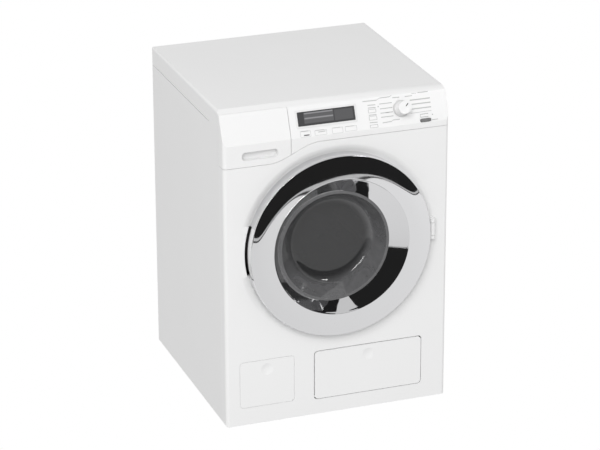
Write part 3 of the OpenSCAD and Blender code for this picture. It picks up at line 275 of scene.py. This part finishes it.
def display_face():
    """The display behind its window: a dark face with two lighter fields, the left one with two pale bars
    and faint segments in it."""
    made = Finish("display_face", (0.075, 0.075, 0.077), 0.12, Coat_Weight=0.6, Coat_Roughness=0.05)
    x, s, _ = made.panel_axes()

    def within(field, low, high, soft=0.0004):
        """1 between two limits, with a soft edge."""
        return field.ramp(low - soft, low + soft) * (1 - field.ramp(high - soft, high + soft))

    field = within(x, -0.0254, -0.0012) * within(s, 0.0104, 0.0190)
    bars = within(x, -0.0250, -0.0016) * (within(s, 0.0178, 0.0187) + within(s, 0.0139, 0.0149))
    right_field = within(x, -0.0004, 0.0148) * within(s, 0.0103, 0.0186) * 0.18
    cells = ((x * (2 * math.pi / 0.0011)).sine() > 0.2) * ((s * (2 * math.pi / 0.0016)).sine() > 0.0)
    light = field * 0.22 + bars * 0.75 + right_field + cells * field * 0.06
    made.feed("Base Color", made.mix(light, (0.070, 0.070, 0.072, 1.0), (0.30, 0.30, 0.31, 1.0)))
    made.feed("Roughness", 0.10 + 0.05 * made.noise(200, 3.0))
    return made.material


def circuit():
    """Circuit board: solder mask with paler copper traces and small round pads under it."""
    mask = (0.05, 0.10, 0.065)
    made = Finish("circuit_board", mask, 0.35, Coat_Weight=0.4)
    x, _, _ = made.panel_axes()
    wander = made.noise(90, 1.0)
    traces = ((x * 1900 + wander * 5).sine() > 0.55) * (made.noise(60, 0.0) > 0.48)
    pads = made.node("TexVoronoi", {"feature": "F1"}, {"Vector": made.place(), "Scale": 260.0}) < 0.16
    traced = made.mix(traces, (*mask, 1.0), (0.11, 0.20, 0.12, 1.0))
    made.feed("Base Color", made.mix(pads, traced, (0.5, 0.5, 0.48, 1.0)))
    made.bump(traces + pads, 0.00003)
    made.feed("Metallic", pads)
    return made.material


def cell_wrap():
    """Battery sleeve: dark shrink film with a pale band about every 50 mm along X."""
    film = (0.045, 0.045, 0.05)
    made = Finish("cell_wrap", film, 0.3, Coat_Weight=0.5)
    x, _, _ = made.axes(made.place())
    band = (x * 125).sine() > 0.82
    made.feed("Base Color", made.mix(band, (*film, 1.0), (0.42, 0.42, 0.42, 1.0)))
    made.bump(made.noise(900, 2.0), 0.00001)
    return made.material


def drum_silver():
    """Drum of silver-lacquered plastic: metal flakes in the lacquer, over a fine grain."""
    made = Finish("drum_silver", (0.50, 0.50, 0.51), 0.36, Metallic=0.55)
    flakes = made.noise(5000, 1.0)
    made.tint(flakes, 0.85, 1.1)
    made.feed("Roughness", 0.3 + 0.12 * made.noise(40, 3.0))
    made.bump(made.noise(700, 2.0), 0.00001)
    return made.material


def knob_with_painted_shade():
    """Knob: a white grip over a skirt painted greyer as painted shade for its shaded foot, parted at the
    skirt's height over the panel.
    """
    made = Finish("knob_white_painted_shade", (0.80, 0.80, 0.80), 0.38)
    _, _, height = made.panel_axes()
    # Painted shade: below the skirt's height the white is darkened to 0.74 of itself, standing in for the
    # shade on the knob's foot.
    made.tint(height.ramp(KNOB_SKIRT - 0.0001, KNOB_SKIRT + 0.0001), 0.74, 1.03)
    made.feed("Roughness", 0.34 + 0.08 * made.noise(60, 3.0))
    made.bump(made.noise(1500, 2.0), 0.000006)
    return made.material


def greased(name, colour):
    """Pale gear plastic with thin grease in places."""
    made = Finish(name, colour, 0.5)
    grease = made.noise(160, 4.0).ramp(0.5, 0.72)
    made.tint(grease, 1.0, 0.86)
    made.feed("Roughness", 0.5 - 0.3 * grease)
    made.bump(made.noise(500, 3.0), 0.00002)
    return made.material


finishes = {
    "white_shell": moulded("shell_white", (0.82, 0.82, 0.82), 0.42),
    "white_front": moulded("front_white", (0.83, 0.83, 0.83), 0.36),
    "steel": brushed("drawn_steel", (0.55, 0.55, 0.56), 0.32),
    "rubber": rubber("foot_rubber", (0.06, 0.06, 0.06)),
    "grey_trim": moulded("grey_trim", (0.17, 0.17, 0.17), 0.4),
    "light_trim": moulded("light_trim", (0.76, 0.76, 0.76), 0.4),
    "smoked_window": display_face(),
    "dark_plastic": moulded("dark_plastic", (0.03, 0.03, 0.03), 0.5),
    "circuit_board": circuit(),
    "grey_plastic": moulded("grey_plastic", (0.30, 0.30, 0.30), 0.5),
    "pale_plastic": moulded("pale_plastic", (0.62, 0.62, 0.61), 0.5),
    "tray_plastic": moulded("tray_plastic", (0.42, 0.47, 0.53), 0.35),
    "cell_wrap": cell_wrap(),
    "chrome": plated(),
    "smoked_clear": smoked_bowl_painted_reflection(),
    "gasket_rubber": rubber("gasket_rubber", (0.035, 0.035, 0.035)),
    "drum_plastic": drum_silver(),
    "gear_plastic": greased("gear_plastic", (0.62, 0.61, 0.58)),
    "brass": brushed("turned_brass", (0.70, 0.52, 0.24), 0.3),
}
own_finish = {"selector_knob": knob_with_painted_shade()}
ink = moulded("panel_ink", (0.46, 0.46, 0.46), 0.6, 3000, 0.000002)
pale_ink = moulded("pale_panel_ink", (0.60, 0.60, 0.60), 0.6, 3000, 0.000002)
dark_ink = moulded("dark_panel_ink", (0.03, 0.03, 0.03), 0.6, 3000, 0.000002)

slot_of = {part["node"]: part["material_slot"] for part in frame["record"]["subparts"]}
body_of = {node: body for body, nodes in frame["record"]["behaviour"]["bodies"].items() for node in nodes}


# ---------------------------------------------------------------- mesh helpers

def new_piece(name, mesh, material, body):
    """Links a finished mesh as a piece that rides on a body and takes its finish from a slot."""
    piece = bpy.data.objects.new(name, mesh)
    bpy.context.scene.collection.objects.link(piece)
    mesh.materials.clear()
    mesh.materials.append(material)
    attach(piece, body)
    return piece


def grid_mesh(name, points, wrap_rows, wrap_columns, flip=False):
    """Mesh of quads over a grid of points, rows by columns; either way round may close on itself."""
    rows, columns = points.shape[:2]
    row, column = np.meshgrid(np.arange(rows if wrap_rows else rows - 1),
                              np.arange(columns if wrap_columns else columns - 1), indexing="ij")
    next_row, next_column = (row + 1) % rows, (column + 1) % columns
    quads = np.stack([row * columns + column, next_row * columns + column,
                      next_row * columns + next_column, row * columns + next_column], -1).reshape(-1, 4)
    if flip:
        quads = quads[:, ::-1]
    mesh = bpy.data.meshes.new(name)
    mesh.from_pydata(points.reshape(-1, 3).tolist(), [], quads.tolist())
    mesh.validate()
    return mesh


def even_normals(piece):
    """Lets the large faces rule the normals, so that flat walls stay flat beside their rounded edges."""
    even = piece.modifiers.new("even_normals", "WEIGHTED_NORMAL")
    even.weight = 100
    even.keep_sharp = True


def shade(mesh, angle):
    """Smooth shading with sharp edges where faces meet at more than an angle in degrees."""
    mesh.polygons.foreach_set("use_smooth", np.ones(len(mesh.polygons), bool))
    mesh.set_sharp_from_angle(angle=math.radians(angle))
    mesh.update()


def seal(mesh, merge=0.0, fill=False):
    """Turns all faces of a new surface outwards, after merging near points and filling open ends where
    that is asked for."""
    work = bmesh.new()
    work.from_mesh(mesh)
    if merge:
        bmesh.ops.remove_doubles(work, verts=work.verts, dist=merge)
    if fill:
        bmesh.ops.holes_fill(work, edges=[e for e in work.edges if e.is_boundary])
    bmesh.ops.recalc_face_normals(work, faces=work.faces)
    work.to_mesh(mesh)
    work.free()


def tidy_copy(node, angle):
    """A copy of a CAD node's loose triangles, merged into one skin and shaded smooth between its edges."""
    work = bmesh.new()
    work.from_mesh(frame["nodes"][node].data)
    bmesh.ops.remove_doubles(work, verts=work.verts, dist=SKIN_MERGE)
    bmesh.ops.dissolve_degenerate(work, edges=work.edges, dist=SKIN_MERGE)
    mesh = bpy.data.meshes.new(node + "_skin")
    work.to_mesh(mesh)
    work.free()
    shade(mesh, angle)
    return mesh


def finish_node(node, angle):
    """Replaces a CAD node by its own tidy copy, with its own finish or that of its slot."""
    material = own_finish.get(node, finishes[slot_of[node]])
    piece = new_piece(node + "_skin", tidy_copy(node, angle), material, body_of[node])
    even_normals(piece)
    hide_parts(node)


def at_door(radius, angle, proud, dx=0.0, dz=0.0):
    """Points around the door's axis: radius and angle in the front plane, and distance in front of it."""
    x = DOOR_X + dx + radius * np.cos(angle)
    z = DOOR_Z + dz + radius * np.sin(angle)
    return np.stack([x, FRONT_Y - proud + 0 * x, z], -1)


def smooth_step(t):
    """0 to 1 as t goes from 0 to 1, level at both ends."""
    return t * t * (3 - 2 * t)


# ---------------------------------------------------------------- door

RING_SHARP, SURFACE_SHARP = 28, 30   # degrees past which an edge is sharp, on the ring and elsewhere


def ring_profile():
    """Closed section of the chrome ring as rows of radius, height and share of the funnel's shift.

    The face starts at the lip and falls away by the integral of its slope. The slope grows as a power of a
    smooth step of the way out, and stays full over the last part. A quarter round turns the face into the
    short side wall. The back runs inwards, up under the face and down along the funnel's outside, and the
    funnel's inside climbs back to the lip.
    """
    t = np.linspace(0, 1, 60)
    radius = LIP_R + LIP_LAND + t * (RING_R - EDGE_ROUND - LIP_R - LIP_LAND)
    way = np.minimum(1, t / TILT_FULL)
    slope = np.tan(np.radians(TILT_LIP + (TILT_EDGE - TILT_LIP) * smooth_step(way) ** TILT_POWER))
    fall = np.concatenate([[0], np.cumsum((slope[1:] + slope[:-1]) / 2 * np.diff(radius))])
    proud = LIP_PROUD - fall
    turn = np.radians(np.linspace(90 - TILT_EDGE, 0, 10))[1:]
    centre_p = proud[-1] - EDGE_ROUND * math.cos(math.radians(TILT_EDGE))
    centre_r = RING_R - EDGE_ROUND
    edge_r, edge_p = centre_r + EDGE_ROUND * np.cos(turn), centre_p + EDGE_ROUND * np.sin(turn)
    wall_p = np.linspace(edge_p[-1], SKIRT_P, 4)[1:]
    under_p = proud[-1] - RING_WALL - EDGE_ROUND
    depth = LIP_PROUD + FUNNEL_DEPTH
    sink = np.linspace(0.15, 1, 8)
    outer_funnel_r = (LIP_R + (GLASS_R - LIP_R) * sink) + RING_WALL
    climb = np.linspace(1, 0.004, 24)
    inner_funnel_r = LIP_R + (GLASS_R - LIP_R) * climb
    rows = [
        (radius, proud, 0 * radius),
        (edge_r, edge_p, 0 * edge_r),
        (RING_R + 0 * wall_p, wall_p, 0 * wall_p),
        (np.array([RING_R - RING_WALL, RING_R - RING_WALL]), np.array([SKIRT_P, under_p]), np.zeros(2)),
        (outer_funnel_r, LIP_PROUD - depth * sink, sink),
        (inner_funnel_r, LIP_PROUD - depth * climb, climb),
        (LIP_R + LIP_BEVEL, LIP_PROUD - LIP_BEVEL[::-1], np.zeros(2)),
    ]
    return [np.concatenate(part) for part in zip(*rows)]


def chrome_ring(steps=256):
    """The ring and its funnel: every row of the section is a circle, whose centre slides from the door's
    axis at the lip to the glass's axis at the funnel's end."""
    radius, proud, shift = ring_profile()
    angle = np.linspace(0, 2 * np.pi, steps, endpoint=False)[:, None]
    points = at_door(radius[None], angle, proud[None], GLASS_DX * shift[None], GLASS_DZ * shift[None])
    mesh = grid_mesh("chrome_ring", points, True, True, flip=True)
    shade(mesh, RING_SHARP)
    piece = new_piece("chrome_ring", mesh, finishes["chrome"], "door")
    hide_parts("door_ring")


def past_recess(radius, steps):
    """Angles all the way round the door at given radii, from one end of the finger recess to its other end:
    each end lies at the arcsine of its height over the radius."""
    above = np.pi - np.arcsin((RECESS_HALF + RECESS_DZ) / radius)
    below = np.pi - np.arcsin((RECESS_HALF - RECESS_DZ) / radius)
    share = np.linspace(0, 1, steps)[:, None]
    return -below + (above + below) * share


def ring_skirt(steps=320):
    """The plated wall below the ring's edge: a thin tube, cut away at the finger recess.

    From the ring's side it swells by a smooth step into the tube. Its lower edge lies in the dish, and rises
    out of it towards the hinge by a smooth step in the cosine of the angle, so that the door can swing.
    """
    t = np.linspace(0, 1, 9)
    swell_r = RING_R + SEAM + (SKIRT_R - RING_R - SEAM) * smooth_step(t)
    swell_p = SKIRT_TOP + (SKIRT_P - SKIRT_TOP) * t
    outer = np.append(swell_r, [SKIRT_R, SKIRT_R])
    radius = np.append(outer, outer[::-1] - SKIRT_T)[None]
    # No drop along the swell, and two rows close together at the lower edge.
    share = np.append(0 * t, [0.98, 1.0])
    drop = np.append(share, share[::-1])[None]
    start = np.append(swell_p, [SKIRT_P, SKIRT_P])
    start = np.append(start, start[::-1])[None]
    angle = past_recess(radius, steps)
    rise = np.clip((np.cos(angle) - HINGE_FROM) / HINGE_SPAN, 0, 1)
    low = SKIRT_LOW + (SKIRT_HINGE_LOW - SKIRT_LOW) * smooth_step(rise)
    points = at_door(radius + 0 * angle, angle, start + (low - start) * drop)
    mesh = grid_mesh("ring_skirt", points, False, True)
    seal(mesh, fill=True)
    shade(mesh, SURFACE_SHARP)
    new_piece("ring_skirt", mesh, finishes["chrome"], "door")


def door_dish(steps=320):
    """The dish around the door: its depth is a power of what is left of the way out to the panel."""
    t = np.linspace(0, 1, 22)
    radius = (SKIRT_R + DISH_GAP + (DISH_OUT_R - SKIRT_R - DISH_GAP) * t)[None]
    proud = (SEAM - DISH_DEPTH * (1 - t) ** DISH_POWER)[None]
    angle = past_recess(radius, steps)
    points = at_door(radius + 0 * angle, angle, proud + 0 * angle)
    mesh = grid_mesh("door_dish", points, False, False)
    seal(mesh)
    shade(mesh, SURFACE_SHARP)
    new_piece("door_dish", mesh, finishes["white_front"], "cabinet")


def bowl_curve(top, corner, depth, dome, fillet):
    """Half section of a bowl: a cone from the rim down, a fillet, then a shallow parabola to the axis."""
    steep = math.atan2(depth, top - corner)
    reach = fillet * math.tan(steep / 2)
    turn = np.linspace(steep, 0, 12)
    radius = corner - reach + fillet * np.sin(turn)
    sunk = depth - fillet + fillet * np.cos(turn)
    cone = np.linspace(0, 1, 8)[:-1]
    t = np.linspace(0, 1, 12)[1:]
    return (np.concatenate([top + (radius[0] - top) * cone, radius, (corner - reach) * (1 - t)]),
            np.concatenate([sunk[0] * cone, sunk, depth + dome * (1 - (1 - t) ** 2)]))


def glass_bowl(steps=160):
    """The see-through bowl, turned about the axis: its inside out to the flange, and its outside back.

    Every row is a circle, whose centre slides from the opening's axis by a share of the shift of the
    bowl's bottom that grows with the depth.
    """
    top = GLASS_R - BOWL_PLAY
    outer_r, outer_d = bowl_curve(top, BOWL_CORNER_R, BOWL_DEPTH, BOWL_DOME, BOWL_FILLET + GLASS_WALL)
    inner_r, inner_d = bowl_curve(top - GLASS_WALL, BOWL_CORNER_R - GLASS_WALL,
                                  BOWL_DEPTH - GLASS_WALL, BOWL_DOME, BOWL_FILLET)
    flange = GLASS_R + FLANGE_OUT
    flange_r = [flange - FLANGE_BEVEL, flange, flange, flange - FLANGE_BEVEL]
    flange_d = [0, FLANGE_BEVEL, FLANGE_T - FLANGE_BEVEL, FLANGE_T]
    radius = np.maximum(np.concatenate([inner_r[::-1], flange_r, outer_r]), POLE_R)
    sunk = np.concatenate([inner_d[::-1], flange_d, np.maximum(outer_d, FLANGE_T)])
    angle = np.linspace(0, 2 * np.pi, steps, endpoint=False)[:, None]
    share = (sunk / BOWL_DEPTH)[None]
    points = at_door(radius[None], angle, -(FUNNEL_DEPTH + sunk)[None],
                     GLASS_DX + BOWL_DX * share, GLASS_DZ + BOWL_DZ * share)
    mesh = grid_mesh("glass_bowl", points, True, False, flip=True)
    seal(mesh, POLE_MERGE, fill=True)
    shade(mesh, SURFACE_SHARP)
    piece = new_piece("glass_bowl", mesh, finishes["smoked_clear"], "door")
    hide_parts("door_glass")


# ---------------------------------------------------------------- print on the control panel

def on_panel(x, s, n):
    """Points on the leaning panel: x to the right, s up the slope from the fold, n out of it."""
    x, s, n = np.broadcast_arrays(np.asarray(x, float), s, n)
    y = FRONT_Y + s * math.sin(PANEL_LEAN) - n * math.cos(PANEL_LEAN)
    z = FOLD_Z + s * math.cos(PANEL_LEAN) + n * math.sin(PANEL_LEAN)
    return np.stack([x, y, z], -1)


BOX_FACES = np.array([(0, 3, 2, 1), (4, 5, 6, 7), (0, 1, 5, 4), (1, 2, 6, 5), (2, 3, 7, 6), (3, 0, 4, 7)])


def printed(name, strokes, material, body="cabinet", height=0.0):
    """Printed marks: each stroke is a flat bar, given in millimetres as its start, its end and its width."""
    start, end = strokes[:, 0:2] * MM, strokes[:, 2:4] * MM
    along = end - start
    along = along / np.linalg.norm(along, axis=1)[:, None]
    side = np.stack([-along[:, 1], along[:, 0]], -1) * strokes[:, 4:5] * MM / 2
    ends = np.stack([start - side, end - side, end + side, start + side], 1)
    corners = np.concatenate([on_panel(ends[..., 0], ends[..., 1], height - INK_SUNK),
                              on_panel(ends[..., 0], ends[..., 1], height + INK_H)], 1)
    faces = (np.arange(len(strokes))[:, None, None] * 8 + BOX_FACES[None]).reshape(-1, 4)
    mesh = bpy.data.meshes.new(name)
    mesh.from_pydata(corners.reshape(-1, 3).tolist(), [], faces.tolist())
    new_piece(name, mesh, material, body)


def outline(x, s, w, h, width):
    """Four strokes around a key's place, with its lower left corner at x and s."""
    return [(x, s, x + w, s, width), (x, s + h, x + w, s + h, width),
            (x, s, x, s + h, width), (x + w, s, x + w, s + h, width)]


def panel_print():
    """Bars, key outlines, leaders and dots in the places of the control panel's print."""
    fine, line, bold = 0.35, 0.6, 0.8
    marks, pale, dark = [], [], []
    for x, s, w, h in ((-30.0, 0.4, 8.3, 4.4), (-18.2, 0.5, 9.6, 3.7),
                       (-3.9, 0.3, 8.6, 4.2), (6.8, 0.7, 9.4, 3.6)):
        pale += outline(x, s, w, h, fine)
        pale.append((x + 0.4, s + h + 0.1, x + 0.8 * w, s + h + 0.1, line))
    dark.append((-27.2, 1.65, -22.8, 1.65, bold))
    marks.append((-15.5, 2.9, -9.5, 3.1, line))
    for s, high in ((0.9, 2.2), (6.9, 2.9), (12.6, 2.6)):
        marks += outline(27.5, s, 6.2, high, fine)
    for s in (5.0, 16.5, 18.6, 10.9):
        marks.append((27.4, s, 33.8, s - 0.2, line))
    for s in (18.5, 14.7, 11.3, 8.1):
        marks.append((37.2, s, 47.6, s, line))
    marks += [(23.8, 22.0, 35.1, 21.7, line), (35.1, 21.7, 37.8, 23.1, fine), (37.8, 23.1, 46.5, 23.2, line),
              (46.5, 23.2, 48.0, 24.2, fine), (48.6, 22.2, 54.4, 21.9, line), (41.5, 11.3, 44.6, 11.3, bold),
              (37.9, 3.7, 45.5, 4.0, line), (45.5, 4.0, 46.6, 4.9, fine), (46.6, 4.9, 52.4, 4.9, line)]
    for s, left in ((18.5, 62.6), (15.15, 63.8), (11.5, 63.4)):
        marks.append((left, s, 79.6, s, bold))
    marks += [(69.9, 23.7, 78.5, 23.7, line), (58.9, 21.9, 65.1, 21.9, line), (64.8, 23.7, 67.4, 23.4, fine),
              (61.9, 8.3, 79.5, 8.6, fine), (69.8, 6.6, 76.5, 6.7, line), (69.6, 4.4, 76.3, 4.3, line),
              (69.7, 4.4, 69.7, 6.6, fine), (78.9, 1.4, 84.0, 1.4, line)]
    dots = [(36.0, 16.7, 0.9), (79.9, 5.5, 0.9), (68.2, 23.3, 0.5)]
    dot_bars = [(x - size / 2, s, x + size / 2, s, size) for x, s, size in dots]
    printed("panel_marks", np.array(marks), ink)
    printed("panel_pale_marks", np.array(pale), pale_ink)
    printed("panel_dark_marks", np.array(dark), dark_ink)
    printed("panel_dots", np.array(dot_bars), ink)
    knob = np.array([KNOB_X, KNOB_S, KNOB_X, KNOB_S]) / MM
    reach = np.array([POINTER_FROM, POINTER_FROM, POINTER_TO, POINTER_TO])
    pointer = np.append(knob + reach, POINTER_WIDTH)
    printed("knob_pointer", pointer[None], dark_ink, body_of["selector_knob"], KNOB_TOP - KNOB_GROOVE)


# ---------------------------------------------------------------- dress the frame

for node, part in frame["nodes"].items():
    part.data.materials.clear()
    part.data.materials.append(finishes[slot_of[node]])

SKINNED = ["housing", "top_cover", "front_panel", "fascia", "rear_cover", "drawer_front", "service_flap",
           "selector_knob", "start_button", "display_bezel", "display_lens", "door_frame", "glass_retainer",
           "drum", "drum_paddles", "tub", "tub_gasket", "drawer_tray", "feet"]
SKIN_SHARP = 18                   # angle in degrees past which an edge of a skin is sharp
SHALLOW = {"front_panel": 7, "drawer_front": 7}   # the same where shallow edges have to stay crisp
for node in SKINNED:
    finish_node(node, SHALLOW.get(node, SKIN_SHARP))
chrome_ring()
ring_skirt()
door_dish()
glass_bowl()
panel_print()


# ---------------------------------------------------------------- studio

def glow(name, strength):
    """A plain surface of the studio that gives white light."""
    made = bpy.data.materials.new(name)
    made.use_nodes = True
    shader = made.node_tree.nodes["Principled BSDF"]
    shader.inputs["Base Color"].default_value = (0, 0, 0, 1)
    shader.inputs["Roughness"].default_value = 1.0
    shader.inputs["Specular IOR Level"].default_value = 0.0
    shader.inputs["Emission Color"].default_value = (1, 1, 1, 1)
    shader.inputs["Emission Strength"].default_value = strength
    return made


def table_glow(left, right):
    """The light that the table throws back at mirror-like surfaces, brighter towards its right."""
    made = Finish("table_sheen", (0, 0, 0), 1.0, Specular_IOR_Level=0.0, Emission_Strength=1.0)
    x, _, _ = made.axes(made.place())
    made.feed("Emission Color", made.mix(x.ramp(-0.5, 0.6), (left, left, left, 1), (right, right, right, 1)))
    return made.material


def stage_sheet(name, corners, material, camera=True, glossy=True, diffuse=True):
    """A flat sheet of the studio, seen only by the kinds of ray that are named."""
    mesh = bpy.data.meshes.new(name)
    mesh.from_pydata([tuple(c) for c in corners], [], [tuple(range(len(corners)))])
    mesh.materials.append(material)
    sheet = bpy.data.objects.new(name, mesh)
    bpy.context.scene.collection.objects.link(sheet)
    sheet.visible_camera = camera
    sheet.visible_glossy = glossy
    sheet.visible_diffuse = diffuse
    sheet.visible_shadow = False
    sheet.visible_transmission = camera


FLOOR_HALF = 6.0
FLOOR_Z, SHEEN_Z = -0.0002, -0.0004
FLOOR_CORNERS = [(x * FLOOR_HALF, y * FLOOR_HALF) for x, y in ((-1, -1), (1, -1), (1, 1), (-1, 1))]
stage_sheet("floor", [(x, y, FLOOR_Z) for x, y in FLOOR_CORNERS], glow("pale_floor", 1.0),
            glossy=False, diffuse=False)
stage_sheet("table_sheen", [(x, y, SHEEN_Z) for x, y in FLOOR_CORNERS], table_glow(0.70, 0.88),
            camera=False, diffuse=False)

# A dark curtain stands beyond the table's front edge. Only mirror-like surfaces show it.
CURTAIN_TURN = math.radians(-14.0)
CURTAIN_AWAY = 0.562
CURTAIN_HALF = 1.6
curtain_out = Vector((math.sin(CURTAIN_TURN), -math.cos(CURTAIN_TURN), 0))
curtain_side = Vector((math.cos(CURTAIN_TURN), math.sin(CURTAIN_TURN), 0))


def curtain_band(name, low, high, grey):
    """A level band of the curtain between two heights."""
    foot = curtain_out * CURTAIN_AWAY
    corners = [foot + curtain_side * side * CURTAIN_HALF + Vector((0, 0, z))
               for side, z in ((-1, low), (1, low), (1, high), (-1, high))]
    stage_sheet(name, corners, glow(name, grey), camera=False, diffuse=False)


for number, (low, high, grey) in enumerate(((0.0, 0.005, 0.04), (0.005, 0.013, 0.55), (0.013, 2.4, 0.016))):
    curtain_band(f"curtain_{number}", low, high, grey)

# Two slim lamps hang between the door and the curtain. They give the bowl and the funnel highlights.
LAMP_AWAY, LAMP_GLOW = 0.42, 15.0


def slim_lamp(name, start, end, half_width):
    """A strip of light between two directions from the door."""
    ends = [Vector(end_from).normalized() * LAMP_AWAY for end_from in (start, end)]
    across = ends[0].cross(ends[1]).normalized() * half_width
    corners = [ends[0] - across, ends[1] - across, ends[1] + across, ends[0] + across]
    door = Vector((DOOR_X, FRONT_Y, DOOR_Z))
    stage_sheet(name, [door + c for c in corners], glow(name, LAMP_GLOW), camera=False, diffuse=False)


slim_lamp("left_lamp", (-0.30, -0.71, 0.64), (-0.62, -0.66, 0.28), 0.016)
slim_lamp("right_lamp", (0.42, -0.57, 0.69), (0.56, -0.52, 0.65), 0.024)

KEY_FROM = Vector((-0.364, -0.718, 0.592)).normalized()
KEY_DISTANCE, KEY_SIZE, KEY_POWER = 2.6, 1.5, 37.0
TARGET = Vector((0, 0, 0.13))
key = bpy.data.lights.new("key_light", "AREA")
key.shape = "DISK"
key.size = KEY_SIZE
key.energy = KEY_POWER
key_light = bpy.data.objects.new("key_light", key)
bpy.context.scene.collection.objects.link(key_light)
key_light.location = TARGET + KEY_FROM * KEY_DISTANCE
key_light.rotation_euler = KEY_FROM.to_track_quat("Z", "Y").to_euler()
key_light.visible_glossy = False

WORLD_LIGHT, WORLD_SEEN = 0.645, 1.05   # the air's light on surfaces, and as the camera sees it
world = bpy.data.worlds.new("studio_air")
bpy.context.scene.world = world
world.use_nodes = True
air = world.node_tree
air.nodes.clear()
out = air.nodes.new("ShaderNodeOutputWorld")
mix = air.nodes.new("ShaderNodeMixShader")
ray = air.nodes.new("ShaderNodeLightPath")
dim, bright = (air.nodes.new("ShaderNodeBackground") for _ in range(2))
for background, strength in ((dim, WORLD_LIGHT), (bright, WORLD_SEEN)):
    background.inputs["Strength"].default_value = strength
    background.inputs["Color"].default_value = (1, 1, 1, 1)
air.links.new(ray.outputs["Is Camera Ray"], mix.inputs[0])
air.links.new(dim.outputs[0], mix.inputs[1])
air.links.new(bright.outputs[0], mix.inputs[2])
air.links.new(mix.outputs[0], out.inputs["Surface"])


# ---------------------------------------------------------------- camera

VIEW_AZIMUTH, VIEW_ELEVATION, VIEW_ROLL = (math.radians(a) for a in (-19.89, 21.79, -0.17))
VIEW_DISTANCE = 2.28271
VIEW_CENTRE = Vector((0, 0.005, 0.1315))
SLIDE_RIGHT, SLIDE_UP = 0.00196, -0.00376
FOCAL_WIDTHS = 2804.8 / 600       # focal length in picture widths

back = Vector((math.sin(VIEW_AZIMUTH) * math.cos(VIEW_ELEVATION),
               -math.cos(VIEW_AZIMUTH) * math.cos(VIEW_ELEVATION), math.sin(VIEW_ELEVATION)))
level_right = (-back).cross(Vector((0, 0, 1))).normalized()
level_up = level_right.cross(-back)
right = math.cos(VIEW_ROLL) * level_right + math.sin(VIEW_ROLL) * level_up
up = -math.sin(VIEW_ROLL) * level_right + math.cos(VIEW_ROLL) * level_up
look_at = VIEW_CENTRE + right * SLIDE_RIGHT + up * SLIDE_UP
lens = bpy.data.cameras.new("camera")
lens.sensor_width = 36.0
lens.lens = FOCAL_WIDTHS * lens.sensor_width
lens.clip_start, lens.clip_end = 0.05, 50.0
camera = bpy.data.objects.new("camera", lens)
bpy.context.scene.collection.objects.link(camera)
camera.matrix_world = Matrix.Translation(look_at + back * VIEW_DISTANCE) @ Matrix(
    (right, up, back)).transposed().to_4x4()
bpy.context.scene.camera = camera
bpy.context.scene.view_settings.view_transform = "Standard"
